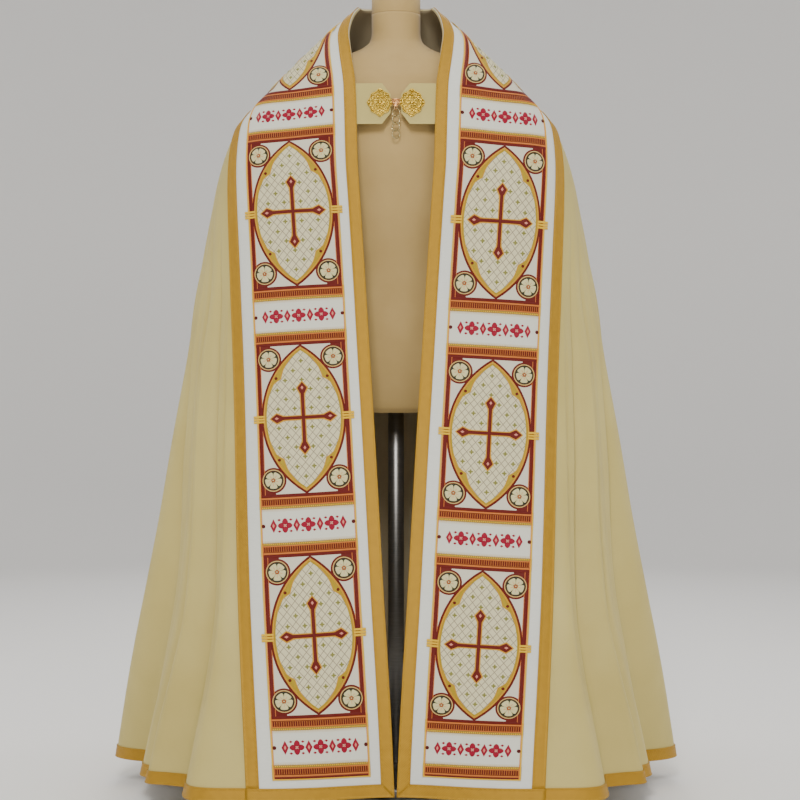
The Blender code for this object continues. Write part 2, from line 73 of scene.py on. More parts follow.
soft_lamp("key_lamp", (-0.25, -3.9, 3.0), (0.0, 0.0, 0.8), (0.9, 1.2), 128, (1.0, 0.97, 0.93))
soft_lamp("fill_lamp", (0.9, -4.2, 1.0), (0.0, 0.0, 0.8), (1.2, 1.6), 24, (0.97, 0.98, 1.0))
soft_lamp("left_lamp", (-3.2, 0.9, 1.6), (0.0, 0.0, 0.7), (0.8, 2.4), 20, (1.0, 0.98, 0.95))
soft_lamp("right_lamp", (3.2, 0.9, 1.6), (0.0, 0.0, 0.7), (0.8, 2.4), 24, (1.0, 0.98, 0.95))
soft_lamp("top_lamp", (0.0, 0.6, 4.2), (0.0, 1.0, 0.0), (3.0, 3.0), 70, (1.0, 0.99, 0.97))
soft_lamp("rear_lamp", (0.0, 4.0, 3.2), (0.0, 0.0, 0.7), (2.6, 1.8), 45, (1.0, 0.99, 0.97))

world = bpy.data.worlds.new("studio_air")
world.use_nodes = True
world.node_tree.nodes["Background"].inputs["Color"].default_value = (0.95, 0.95, 0.97, 1.0)
world.node_tree.nodes["Background"].inputs["Strength"].default_value = 0.42
bpy.context.scene.world = world


class Tone:
    """One output in a material; Python's operators add its Math nodes."""

    def __init__(self, finish, socket):
        self.finish = finish
        self.socket = socket

    def maths(self, operation, *others):
        return self.finish.node("Math", {k: v for k, v in enumerate((self, *others))}, operation=operation)

    def __add__(self, other):
        return self.maths("ADD", other)

    def __sub__(self, other):
        return self.maths("SUBTRACT", other)

    def __mul__(self, other):
        return self.maths("MULTIPLY", other)

    def __truediv__(self, other):
        return self.maths("DIVIDE", other)

    def __pow__(self, other):
        return self.maths("POWER", other)

    def __neg__(self):
        return self.maths("MULTIPLY", -1.0)

    def __rsub__(self, other):
        return (-self) + other

    def __rtruediv__(self, other):
        return self.maths("POWER", -1.0) * other

    def __gt__(self, other):
        return self.maths("GREATER_THAN", other)

    def __lt__(self, other):
        return self.maths("LESS_THAN", other)

    __radd__ = __add__
    __rmul__ = __mul__

    def size(self):
        return self.maths("ABSOLUTE")

    def sine(self):
        return self.maths("SINE")

    def part(self):
        return self.maths("FRACT")

    def smooth(self, low, high):
        """0 below low, 1 above high, eased between them."""
        return self.finish.node("MapRange", {0: self, 1: low, 2: high}, interpolation_type="SMOOTHSTEP")


class Finish:
    """A material: principled values by name, and nodes that one method adds."""

    def __init__(self, name, **values):
        self.material = bpy.data.materials.new(name)
        self.material.use_nodes = True
        self.tree = self.material.node_tree
        self.shader = self.tree.nodes["Principled BSDF"]
        for key, value in values.items():
            self.put(key.replace("_", " ").title().replace("Ior", "IOR"), value)

    def put(self, socket, value):
        self.set(self.shader.inputs[socket], value)

    def set(self, socket, value):
        if isinstance(value, Tone):
            self.tree.links.new(value.socket, socket)
        elif isinstance(value, tuple) and len(value) == 3 and socket.type == "RGBA":
            socket.default_value = (*value, 1.0)
        else:
            socket.default_value = value

    def node(self, kind, values=None, out=0, **settings):
        made = self.tree.nodes.new("ShaderNode" + kind)
        stops = settings.pop("stops", None)
        for key, value in settings.items():
            setattr(made, key, value)
        if stops:
            ramp = made.color_ramp
            while len(ramp.elements) < len(stops):
                ramp.elements.new(0.5)
            for element, (at, colour) in zip(ramp.elements, stops):
                element.position = at
                element.color = (*colour, 1.0)
        for key, value in (values or {}).items():
            self.set(made.inputs[key], value)
        return Tone(self, made.outputs[out])

    def mix(self, factor, first, second, blend="MIX"):
        return self.node("Mix", {0: factor, 6: first, 7: second}, out=2, data_type="RGBA", blend_type=blend)

    def place(self, uv_map=None, scale=(1.0, 1.0, 1.0), turn=0.0):
        """Coordinates in metres, from the piece's flat map or from its place."""
        if uv_map:
            source = self.node("UVMap", uv_map=uv_map)
        else:
            source = self.node("TexCoord", out=3)
        return self.node("Mapping", {0: source, 2: (0.0, 0.0, turn), 3: scale})

    def across_along(self, uv_map):
        """The two directions of the flat map, in metres, as separate values."""
        source = self.node("UVMap", uv_map=uv_map)
        split = self.node("SeparateXYZ", {0: source})
        return split, Tone(self, split.socket.node.outputs[1])

    def noise(self, where, scale, detail=3.0, rough=0.55, out=0):
        return self.node("TexNoise", {"Vector": where, "Scale": scale, "Detail": detail, "Roughness": rough},
                         out=out)

    def bump(self, height, strength, distance):
        found = self.node("Bump", {"Height": height, "Strength": strength, "Distance": distance})
        self.put("Normal", found)
        return found


def add_piece(name, points, faces, finishes, face_finish=None, uv=None, smooth=True, body="vestment"):
    """A finished piece at the origin: its points, faces and flat map, riding on a body."""
    mesh = bpy.data.meshes.new(name)
    mesh.from_pydata(np.asarray(points).tolist(), [], [tuple(int(k) for k in f) for f in faces])
    for finish in finishes:
        mesh.materials.append(finish.material)
    if face_finish is not None:
        mesh.polygons.foreach_set("material_index", np.asarray(face_finish, np.int32))
    if uv is not None:
        layer = mesh.uv_layers.new(name="cut")
        corners = np.empty(len(mesh.loops), np.int32)
        mesh.loops.foreach_get("vertex_index", corners)
        layer.data.foreach_set("uv", np.asarray(uv, np.float32)[corners].ravel())
    if smooth:
        mesh.shade_smooth()
    found = bpy.data.objects.new(name, mesh)
    bpy.context.scene.collection.objects.link(found)
    if body:
        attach(found, body)
    return found


# A round pale floor that curves up into a plain wall on every side
FLOOR_RADIUS = 5.0
SWEEP_RADIUS = 1.6
WALL_TOP = 5.5
FLOOR_SIDES = 96
floor_finish = Finish("pale_floor", roughness=0.75)
floor_cloud = floor_finish.noise(floor_finish.place(), 0.6, 2.0)
floor_finish.put("Base Color", floor_finish.mix(floor_cloud, (0.850, 0.840, 0.820), (0.870, 0.860, 0.845)))
floor_profile = [(1.5, 0.0), (3.5, 0.0), (FLOOR_RADIUS, 0.0)]
floor_profile += [(FLOOR_RADIUS + SWEEP_RADIUS * sin(a), SWEEP_RADIUS * (1 - cos(a)))
                  for a in np.linspace(0.1, pi / 2, 16)]
floor_profile.append((FLOOR_RADIUS + SWEEP_RADIUS, WALL_TOP))
floor_turns = np.arange(FLOOR_SIDES) * 2 * pi / FLOOR_SIDES
floor_points = [(r * cos(a), r * sin(a), z) for r, z in floor_profile for a in floor_turns] + [(0.0, 0.0, 0.0)]
index = np.arange(len(floor_profile) * FLOOR_SIDES).reshape(-1, FLOOR_SIDES)
after = np.roll(index, -1, axis=1)
floor_faces = np.stack([index[:-1], index[1:], after[1:], after[:-1]], -1).reshape(-1, 4).tolist()
floor_faces += [[len(floor_points) - 1, a, b] for a, b in zip(index[0], after[0])]
add_piece("floor_sweep", floor_points, floor_faces, [floor_finish], body=None)

# ---- The cope's cloth
# A half circle of soft cream-gold cloth, open in front and hung from the neck. Horizontal ring
# sections give its hang; folds fan out from each shoulder and deepen to the hem.
HEM_Z = 0.05
NECK_Z = 1.554
BACK_NECK_RISE = 0.013
BACK_DROP = 0.905
BAND_WIDTH = 0.268
WALL = 0.002
SECTION_COLUMNS = ("z", "gap", "edge_y", "mid_y", "front", "half_width", "back", "square", "fan")
SECTIONS = np.array([
    (0.050, 0.0018, -0.400, 0.010, 0.505, 0.561, 0.450, 2.3, 1.00),
    (0.150, 0.0060, -0.396, 0.006, 0.482, 0.543, 0.440, 2.3, 1.08),
    (0.260, 0.0120, -0.388, 0.002, 0.452, 0.523, 0.428, 2.3, 1.20),
    (0.400, 0.0210, -0.365, -0.004, 0.415, 0.497, 0.410, 2.3, 1.35),
    (0.545, 0.0294, -0.333, -0.010, 0.368, 0.470, 0.388, 2.3, 1.40),
    (0.690, 0.0381, -0.292, -0.016, 0.315, 0.445, 0.362, 2.3, 1.42),
    (0.840, 0.0481, -0.240, -0.024, 0.252, 0.418, 0.334, 2.35, 1.50),
    (1.000, 0.0585, -0.198, -0.034, 0.205, 0.391, 0.308, 2.5, 1.80),
    (1.150, 0.0687, -0.176, -0.052, 0.172, 0.362, 0.290, 2.5, 1.90),
    (1.231, 0.0740, -0.162, -0.060, 0.148, 0.342, 0.278, 2.3, 1.50),
    (1.294, 0.0757, -0.148, -0.062, 0.126, 0.317, 0.262, 2.1, 1.00),
    (1.376, 0.0783, -0.122, -0.046, 0.106, 0.249, 0.218, 2.0, 1.00),
    (1.454, 0.0886, -0.088, -0.022, 0.090, 0.178, 0.166, 2.0, 1.00),
    (1.492, 0.0930, -0.066, -0.010, 0.082, 0.142, 0.136, 2.0, 1.00),
    (1.515, 0.0900, -0.048, -0.006, 0.072, 0.117, 0.118, 2.0, 1.00),
    (1.535, 0.0840, -0.029, -0.002, 0.066, 0.094, 0.102, 2.0, 1.00),
    (1.554, 0.0730, 0.000, 0.000, 0.060, 0.073, 0.085, 2.0, 1.00),
    (1.567, 0.0600, 0.026, 0.000, 0.056, 0.060, 0.074, 2.0, 1.00),
])
# A turn of the cloth from the band (place 0) to the centre back (place 1), its reach at the hem
# and the level where it dies out
FOLDS = np.array([
    (0.000, 0.000, 1.10),
    (0.063, 0.020, 1.00),
    (0.140, -0.050, 1.04),
    (0.203, -0.026, 1.12),
    (0.320, -0.066, 1.18),
    (0.393, 0.002, 1.22),
    (0.487, -0.066, 1.24),
    (0.580, 0.000, 1.22),
    (0.668, -0.054, 1.26),
    (0.755, 0.006, 1.24),
    (0.850, -0.060, 1.26),
    (0.930, 0.000, 1.22),
    (1.000, -0.030, 1.24),
])
# Lesser creases: place, how far it drifts on its way down, levels it runs between, half width
# as a share of the way round, and depth
CREASES = np.array([
    (0.082, 0.012, 0.98, 0.12, 0.012, 0.0080),
    (0.172, -0.038, 1.16, 0.05, 0.015, 0.0150),
    (0.126, 0.010, 0.90, 0.05, 0.016, -0.0090),
    (0.262, -0.045, 1.18, 0.05, 0.017, 0.0160),
    (0.225, -0.040, 1.00, 0.05, 0.016, -0.0100),
    (0.310, 0.010, 1.12, 0.42, 0.014, -0.0090),
    (0.345, -0.006, 0.96, 0.05, 0.015, 0.0140),
    (0.405, 0.012, 1.16, 0.30, 0.014, 0.0130),
    (0.435, 0.010, 1.18, 0.36, 0.014, -0.0120),
    (0.462, -0.008, 0.98, 0.05, 0.013, 0.0140),
    (0.530, 0.012, 1.20, 0.30, 0.015, 0.0160),
    (0.566, 0.006, 0.90, 0.05, 0.014, -0.0100),
    (0.610, -0.014, 1.08, 0.05, 0.014, 0.0130),
    (0.660, -0.010, 1.22, 0.42, 0.013, -0.0090),
    (0.705, 0.012, 1.20, 0.22, 0.015, 0.0165),
    (0.752, 0.008, 0.96, 0.05, 0.014, -0.0110),
    (0.800, 0.006, 1.06, 0.05, 0.013, 0.0120),
    (0.880, -0.012, 1.18, 0.16, 0.015, 0.0160),
    (0.925, 0.006, 0.94, 0.05, 0.014, -0.0100),
    (0.970, 0.004, 1.10, 0.05, 0.013, 0.0125),
])


def smooth_table(rows, columns):
    """Named columns, each with slopes that keep a smooth curve between its rows."""
    x = rows[:, 0]
    found = {}
    for k, name in enumerate(columns[1:], 1):
        y = rows[:, k]
        steep = np.diff(y) / np.diff(x)
        both = steep[:-1] * steep[1:] > 0
        total = np.where(both, steep[:-1] + steep[1:], 1.0)
        slope = np.concatenate([steep[:1], np.where(both, 2 * steep[:-1] * steep[1:] / total, 0.0), steep[-1:]])
        found[name] = (x, y, slope)
    return found


def read(column, at):
    x, y, slope = column
    at = np.clip(at, x[0], x[-1])
    k = np.clip(np.searchsorted(x, at) - 1, 0, len(x) - 2)
    step = x[k + 1] - x[k]
    t = (at - x[k]) / step
    return ((1 + 2 * t) * (1 - t) ** 2 * y[k] + t * (1 - t) ** 2 * step * slope[k]
            + t * t * (3 - 2 * t) * y[k + 1] + t * t * (t - 1) * step * slope[k + 1])


def soft(t):
    t = np.clip(t, 0.0, 1.0)
    return t * t * (3 - 2 * t)


RING = smooth_table(SECTIONS, SECTION_COLUMNS)
SIDE = pi / 2
BACK_SQUARE = 2.1
DIP_SPAN = radians(38)


def plain_ring(z, angle):
    front = angle < SIDE
    square = np.where(front, read(RING["square"], z), BACK_SQUARE)
    depth = np.where(front, read(RING["front"], z), read(RING["back"], z))
    across = np.abs(np.sin(angle)) / read(RING["half_width"], z)
    along = np.abs(np.cos(angle)) / depth
    return (across ** square + along ** square) ** (-1 / square)


def edge_polar(z):
    x = read(RING["gap"], z)
    y = read(RING["edge_y"], z) - read(RING["mid_y"], z)
    return np.arctan2(x, -y), np.hypot(x, y)


def unfolded(z, angle):
    """Distance from the ring's centre to the cloth, before its folds."""
    edge_angle, edge_reach = edge_polar(z)
    start = np.minimum(edge_angle, SIDE)
    dip = edge_reach - plain_ring(z, start)
    return plain_ring(z, angle) + dip * (1 - soft((angle - start) / DIP_SPAN))


def ring_points(z, angle, reach):
    return np.stack([reach * np.sin(angle), read(RING["mid_y"], z) - reach * np.cos(angle),
                     z + np.zeros_like(angle)], -1)


def fold_depth(z, place):
    x, reach, top = FOLDS.T
    k = np.clip(np.searchsorted(x, place) - 1, 0, len(x) - 2)
    t = soft((place - x[k]) / (x[k + 1] - x[k]))
    fade = [np.clip((top[n] - z) / (top[n] - HEM_Z), 0.0, 1.0) ** 1.15 for n in (k, k + 1)]
    found = (1 - t) * reach[k] * fade[0] + t * reach[k + 1] * fade[1]
    for at, drift, high, low, half, depth in CREASES:
        down = (high - z) / (high - low)
        run = soft(3 * down) * (soft(3 * (1 - down)) if low > HEM_Z + 0.01 else 1.0)
        found = found - depth * run * np.exp(-((place - at - drift * down) / half) ** 2)
    return found


LEVELS = np.linspace(HEM_Z, NECK_Z, 400)
edge_angles = np.minimum(edge_polar(LEVELS)[0], SIDE)[:, None]
ARC_ANGLE = edge_angles + (SIDE - edge_angles) * np.linspace(0.0, 1.0, 240)[None, :]
arc_levels = np.repeat(LEVELS[:, None], ARC_ANGLE.shape[1], 1)
arc_points = ring_points(arc_levels, ARC_ANGLE, unfolded(arc_levels, ARC_ANGLE))
ARC = np.concatenate([np.zeros((len(LEVELS), 1)),
                      np.cumsum(np.linalg.norm(np.diff(arc_points, axis=1), axis=2), 1)], 1)
EDGE_POINTS = np.stack([read(RING["gap"], LEVELS), read(RING["edge_y"], LEVELS), LEVELS], -1)
EDGE_RUN = np.concatenate([[0.0], np.cumsum(np.linalg.norm(np.diff(EDGE_POINTS, axis=0), axis=1))])
BACK_ANGLES = np.linspace(SIDE, pi, 90)
TURNING = len(LEVELS) // 4


def shoulder_level(distance):
    return float(np.interp(-distance, -ARC[TURNING:, -1], LEVELS[TURNING:]))


def back_line(distance):
    level = shoulder_level(distance)
    centre = NECK_Z + BACK_NECK_RISE - distance * BACK_DROP
    z = level + (centre - level) * soft((BACK_ANGLES - SIDE) / SIDE)
    points = ring_points(z, BACK_ANGLES, unfolded(z, BACK_ANGLES))
    run = np.concatenate([[0.0], np.cumsum(np.linalg.norm(np.diff(points, axis=0), axis=1))])
    return points, run / run[-1], run[-1]


NECK_HALF = back_line(0.0)[2]
STRIP_LENGTH = NECK_HALF + EDGE_RUN[-1]
LEAN = 0.06
LEAN_FADE = 0.35


def strip_line(alongs, distance):
    """Points of the band's line at one distance from its neck edge, from hem to centre back."""
    turn = NECK_HALF + distance
    points, part, _ = back_line(distance)
    behind = 1 - alongs / turn
    found = np.stack([np.interp(behind, part, points[:, k]) for k in range(3)], -1)
    at_turn = EDGE_RUN[-1] - np.interp(shoulder_level(distance), LEVELS, EDGE_RUN) - distance
    past = soft((alongs - turn) / LEAN_FADE)
    to_hem = soft((STRIP_LENGTH - alongs) / LEAN_FADE)
    shift = (1 - past) * at_turn + past * LEAN * distance * to_hem
    z = np.interp(STRIP_LENGTH - alongs - shift, EDGE_RUN, LEVELS)
    angles = [np.interp(distance, ARC[n], ARC_ANGLE[n]) for n in range(len(LEVELS))]
    angle = np.interp(z, LEVELS, angles)
    in_front = ring_points(z, angle, unfolded(z, angle))
    return np.where((alongs >= turn)[:, None], in_front, found)


def strip_grid(alongs, distances):
    return np.stack([strip_line(alongs, d) for d in distances], 1)


SHOULDER_Z = shoulder_level(BAND_WIDTH)
BACK_TOP = back_line(BAND_WIDTH)
BAND_ANGLES = np.array([np.interp(BAND_WIDTH, ARC[n], ARC_ANGLE[n]) for n in range(len(LEVELS))])


def body_grid(levels, places):
    """The cloth below and behind the band: a row per level, a column per place round it."""
    top = np.interp(SIDE + SIDE * places, BACK_ANGLES, BACK_TOP[0][:, 2])[None, :]
    share = ((levels - HEM_Z) / (SHOULDER_Z - HEM_Z))[:, None]
    z = HEM_Z + (top - HEM_Z) * share
    band_angle = np.interp(np.minimum(z, SHOULDER_Z), LEVELS, BAND_ANGLES)
    angle = band_angle + (pi - band_angle) * places[None, :] ** read(RING["fan"], z)
    place = np.repeat(places[None, :], len(levels), 0)
    return ring_points(z, angle, unfolded(z, angle) + fold_depth(z, place))


BODY_COLUMNS = 150
BODY_ROWS = 92
places = np.linspace(0.0, 1.0, BODY_COLUMNS + 1)
front_levels = HEM_Z + (SHOULDER_Z - HEM_Z) * np.linspace(0.0, 1.0, BODY_ROWS + 1)[:-1]
front_alongs = STRIP_LENGTH - np.interp(front_levels, LEVELS, EDGE_RUN)
turn_parts = np.interp(SIDE + SIDE * places, BACK_ANGLES, BACK_TOP[1])
back_alongs = (NECK_HALF + BAND_WIDTH) * (1 - turn_parts)
body_alongs = np.concatenate([front_alongs, back_alongs])
under_lines = np.linspace(0.0, BAND_WIDTH, 28)

under_band = strip_grid(body_alongs, under_lines)
body = body_grid(np.append(under_band[:BODY_ROWS, -1, 2], SHOULDER_Z), places)
body[:, 0] = under_band[:BODY_ROWS + 1, -1]
body[-1] = under_band[BODY_ROWS:, -1]
under_band[-1, :, 0] = 0.0
body[:, -1, 0] = 0.0


def flipped(grid):
    return (grid * np.array([-1.0, 1.0, 1.0]))[:, ::-1]


def welded(patches):
    """Patches joined where they meet: points, quads and each patch's index into the points."""
    flat = np.concatenate([patch.reshape(-1, 3) for patch in patches])
    _, first, back = np.unique(np.round(flat * 1e6).astype(np.int64), axis=0, return_index=True,
                               return_inverse=True)
    quads = []
    start = 0
    indexes = []
    for patch in patches:
        rows, columns = patch.shape[:2]
        index = back.ravel()[start:start + rows * columns].reshape(rows, columns)
        start += rows * columns
        indexes.append(index)
        quads.append(np.stack([index[:-1, :-1], index[:-1, 1:], index[1:, 1:], index[1:, :-1]], -1).reshape(-1, 4))
    return flat[first], np.concatenate(quads), indexes


def point_normals(points, quads):
    a, b, c, d = (points[quads[:, k]] for k in range(4))
    face = np.cross(c - a, d - b)
    total = np.zeros_like(points)
    for k in range(4):
        np.add.at(total, quads[:, k], face)
    return total / np.maximum(np.linalg.norm(total, axis=1), 1e-12)[:, None]


def wall(points, quads, normals, low, high, uv):
    """A closed cloth wall between two distances from a surface, with its edges turned in."""
    count = len(points)
    sides = np.concatenate([quads[:, [k, (k + 1) % 4]] for k in range(4)])
    keys = sides[:, 0] * count + sides[:, 1]
    opposite = sides[:, 1] * count + sides[:, 0]
    rim = sides[~np.isin(opposite, keys)]
    rims = np.stack([rim[:, 1], rim[:, 0], rim[:, 0] + count, rim[:, 1] + count], -1)
    faces = np.concatenate([quads, quads[:, ::-1] + count, rims])
    both = np.concatenate([points + normals * high, points + normals * low])
    kinds = np.concatenate([np.zeros(len(quads), int), np.ones(len(quads), int), np.zeros(len(rims), int)])
    return both, faces, kinds, np.concatenate([uv, uv])


def run_along(grid, axis):
    """Arc length along one direction of a grid, for its flat map."""
    step = np.linalg.norm(np.diff(grid, axis=axis), axis=2)
    zero = np.zeros_like(step[:1]) if axis == 0 else np.zeros_like(step[:, :1])
    return np.concatenate([zero, np.cumsum(step, axis)], axis)


body_points, body_quads, body_indexes = welded([under_band, body, flipped(under_band), flipped(body)])
body_normals = point_normals(body_points, body_quads)
body_uv = np.zeros((len(body_points), 2))
strip_uv = np.stack(np.broadcast_arrays(under_lines[None, :], body_alongs[:, None]), -1)
round_uv = np.stack([BAND_WIDTH + run_along(body, 1),
                     np.repeat(front_alongs.tolist() + [back_alongs[0]], BODY_COLUMNS + 1).reshape(-1, BODY_COLUMNS + 1)], -1)
for index, uv in zip(body_indexes, (strip_uv, round_uv, strip_uv[:, ::-1], round_uv[:, ::-1])):
    body_uv[index] = uv

# Satin-faced cloth: fine ribs of warp, a slight slub and a soft sheen
cream = Finish("cream_gold_cloth", sheen_weight=0.12, sheen_roughness=0.4, sheen_tint=(0.95, 0.85, 0.50),
               specular_ior_level=0.30)
CREAM_LIGHT = (0.540, 0.450, 0.155)
CREAM_DEEP = (0.445, 0.358, 0.105)
WEAVE_PITCH = 0.0011


def woven(finish, pitch, strength, distance):
    """Crossed threads over a piece's flat map, as a bump; the thread height is returned too, and a finish that
    mixes it into its colour paints the raised threads lighter, a painted highlight.
    """
    across, along = finish.across_along("cut")
    warp = (across * (2 * pi / pitch)).sine()
    weft = (along * (2 * pi / pitch)).sine()
    threads = warp * weft * 0.5 + 0.5
    finish.bump(threads, strength, distance)
    return across, along, threads


across, along, threads = woven(cream, WEAVE_PITCH, 0.22, 0.0002)
cream_slub = cream.noise(cream.place("cut", (22.0, 260.0, 1.0)), 4.0, 2.0)
cream_cloud = cream.noise(cream.place("cut"), 3.2, 4.0)
cream_tone = cream.mix(cream_cloud.smooth(0.30, 0.72) * 0.7 + cream_slub * 0.3, CREAM_DEEP, CREAM_LIGHT)
# Painted highlight: the raised threads are mixed a tenth of the way towards a lighter cream, over a tone that
# varies at random.
cream.put("Base Color", cream.mix(threads * 0.10, cream_tone, (0.66, 0.56, 0.23)))
cream.put("Roughness", cream_slub * 0.14 + 0.50)

# Painted shade: the neck lining is a pale grey cloth, given the darker grey-brown it shows in shadow inside the
# neck; its tone also varies at random.
lining_finish = Finish("neck_lining_painted_shade_cloth", roughness=0.8)
woven(lining_finish, 0.0009, 0.2, 0.0002)
lining_cloud = lining_finish.noise(lining_finish.place("cut"), 6.0)
lining_finish.put("Base Color", lining_finish.mix(lining_cloud, (0.300, 0.245, 0.150), (0.400, 0.335, 0.215)))

inside_finish = Finish("cope_lining_satin", roughness=0.55, sheen_weight=0.1)
_, _, inside_thread_highlight = woven(inside_finish, 0.0008, 0.2, 0.0002)
inside_cloud = inside_finish.noise(inside_finish.place("cut"), 5.0)
# The lining's tone varies at random, and its raised threads are painted lighter, a painted highlight.
inside_finish.put("Base Color", inside_finish.mix(inside_cloud * 0.8 + inside_thread_highlight * 0.2, (0.560, 0.470, 0.300),
                                                  (0.680, 0.590, 0.400)))

points, faces, kinds, uv = wall(body_points, body_quads, body_normals, -WALL, 0.0, body_uv)
cope_cloth = add_piece("cope_cloth", points, faces, [cream, inside_finish], kinds, uv)
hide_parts("cope_body")


# ---- Ivory bands
# A straight strip of ivory cloth down each front, turned over the shoulder and joined at the
# centre back; it is laid on the cope's cloth. `across` runs from the front edge, `along` from
# the centre back.
BRAID_WIDTH = 0.024
BAND_LOW = 0.00045
BAND_HIGH = 0.00165
UPPER_LOW = 0.0021

SURFACE_ALONGS = np.concatenate([np.linspace(0.0, 0.62, 190), np.linspace(0.62, STRIP_LENGTH, 300)[1:]])
SURFACE_ACROSS = np.linspace(0.0, BAND_WIDTH, 68)
SURFACE = strip_grid(SURFACE_ALONGS, SURFACE_ACROSS)
SURFACE[0, :, 0] = 0.0
down_step = np.gradient(SURFACE, axis=0)
down_step[0, :, 2] = 0.0
down_step[0, :, 1] = 0.0
SURFACE_NORMALS = np.cross(np.gradient(SURFACE, axis=1), down_step)
SURFACE_NORMALS /= -np.linalg.norm(SURFACE_NORMALS, axis=2)[..., None]


def on_band(across, along, height, side):
    """Points over the band: side is 1 on the wearer's left and -1 on the right."""
    along = np.clip(along, 0.0, STRIP_LENGTH)
    row = np.clip(np.searchsorted(SURFACE_ALONGS, along) - 1, 0, len(SURFACE_ALONGS) - 2)
    down = (along - SURFACE_ALONGS[row]) / (SURFACE_ALONGS[row + 1] - SURFACE_ALONGS[row])
    over = np.clip(across / BAND_WIDTH, 0.0, 1.0) * (len(SURFACE_ACROSS) - 1)
    column = np.minimum(over.astype(int), len(SURFACE_ACROSS) - 2)
    over, down = (over - column)[..., None], down[..., None]
    found = []
    for grid in (SURFACE, SURFACE_NORMALS):
        upper = grid[row, column] * (1 - over) + grid[row, column + 1] * over
        lower = grid[row + 1, column] * (1 - over) + grid[row + 1, column + 1] * over
        found.append(upper * (1 - down) + lower * down)
    points = found[0] + found[1] * np.asarray(height)[..., None]
    return points * np.array([side, 1.0, 1.0])


def band_wall(across, along, low, high, side):
    """A closed strip of cloth over the band, from grids of across and along."""
    rows, columns = along.shape
    upper = on_band(across, along, high + 0 * along, side)
    lower = on_band(across, along, low + 0 * along, side)
    index = np.arange(rows * columns).reshape(rows, columns)
    quads = np.stack([index[:-1, :-1], index[:-1, 1:], index[1:, 1:], index[1:, :-1]], -1).reshape(-1, 4)
    if side > 0:
        quads = quads[:, ::-1]
    count = rows * columns
    rim = np.concatenate([index[0, :], index[1:, -1], index[-1, -2::-1], index[-2:0:-1, 0]])
    rims = np.stack([rim, np.roll(rim, -1), np.roll(rim, -1) + count, rim + count], -1)
    if side < 0:
        rims = rims[:, ::-1]
    faces = np.concatenate([quads, quads[:, ::-1] + count, rims])
    points = np.concatenate([upper.reshape(-1, 3), lower.reshape(-1, 3)])
    uv = np.stack([across, along], -1).reshape(-1, 2)
    return points, faces, np.concatenate([uv, uv])


ivory = Finish("ivory_cloth", roughness=0.62, sheen_weight=0.2, sheen_roughness=0.4)
IVORY_LIGHT = (0.690, 0.700, 0.640)
IVORY_DEEP = (0.600, 0.610, 0.545)
_, _, ivory_thread_highlight = woven(ivory, 0.0010, 0.20, 0.0002)
ivory_cloud = ivory.noise(ivory.place("cut", (10.0, 60.0, 1.0)), 5.0, 3.0)
# The ivory tone varies at random, and the raised threads are painted lighter, a painted highlight.
ivory.put("Base Color", ivory.mix(ivory_cloud * 0.8 + ivory_thread_highlight * 0.2, IVORY_DEEP, IVORY_LIGHT))

SIDES = (("left", 1), ("right", -1))
band_alongs = np.linspace(0.0, STRIP_LENGTH, 250)
band_across = np.linspace(0.0, BAND_WIDTH - 0.0006, 36)
for side_name, side in SIDES:
    across, along = np.meshgrid(band_across, band_alongs)
    points, faces, uv = band_wall(across, along, BAND_LOW, BAND_HIGH, side)
    add_piece("band_" + side_name, points, faces, [ivory], uv=uv)
    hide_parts("orphrey_" + side_name)

# ---- Embroidered panels
# A linen panel down the middle of each band, worked all over: pointed ovals with a cross on a
# diapered ground and a rose in each corner, parted by ivory rows with a crimson border pattern.
# Each figure is padded satin stitch, so it stands a little above the linen.
PANEL_WIDTH = 0.178
PANEL_CENTRE = {1: 0.1350, -1: 0.1310}
PANEL_FOOT = 0.038
PANEL_LOW = UPPER_LOW
PANEL_HIGH = UPPER_LOW + 0.001
REPEAT = 0.4035
# Heights above the hem of successive rows, a cross and an ivory row by turns, on each side
ROW_COLUMNS = ("left", "right")
ROWS = np.array([
    (-0.0911, -0.1052),
    (0.0909, 0.0967),
    (0.2790, 0.2990),
    (0.4731, 0.5015),
    (0.6733, 0.7044),
    (0.8795, 0.9075),
    (1.0917, 1.1109),
    (1.3099, 1.3147),
    (1.5341, 1.5187),
    (1.7290, 1.7290),
])
OVAL_HALF_WIDTH = 0.0770
OVAL_HALF_HEIGHT = 0.1425
OVAL_RADIUS = (OVAL_HALF_HEIGHT ** 2 + OVAL_HALF_WIDTH ** 2) / (2 * OVAL_HALF_WIDTH)
LATTICE_ACROSS = 0.0155
LATTICE_DOWN = 0.0187
FRAME_DOWN = 0.1465
IVORY_ROW_HALF = 0.0262


def threaded(name, colour, lit, roughness=0.50, metallic=0.0, pitch=0.0007, strength=0.45):
    """Satin stitch: threads lie across each figure's length. The colour runs from a shaded to a lit tone, by a
    random tone and by the crest of each stitch, so the stitch crests carry a painted highlight.
    """
    made = Finish(name, roughness=roughness, metallic=metallic, specular_ior_level=0.22)
    along, across = made.across_along("cut")
    threads = (along * (2 * pi / pitch)).sine() * 0.5 + 0.5
    tone = made.noise(made.place("cut", (900.0, 120.0, 1.0)), 1.0, 2.0)
    made.put("Base Color", made.mix(tone * 0.6 + threads * 0.4, colour, lit))
    made.bump(threads, strength, 0.00025)
    return made


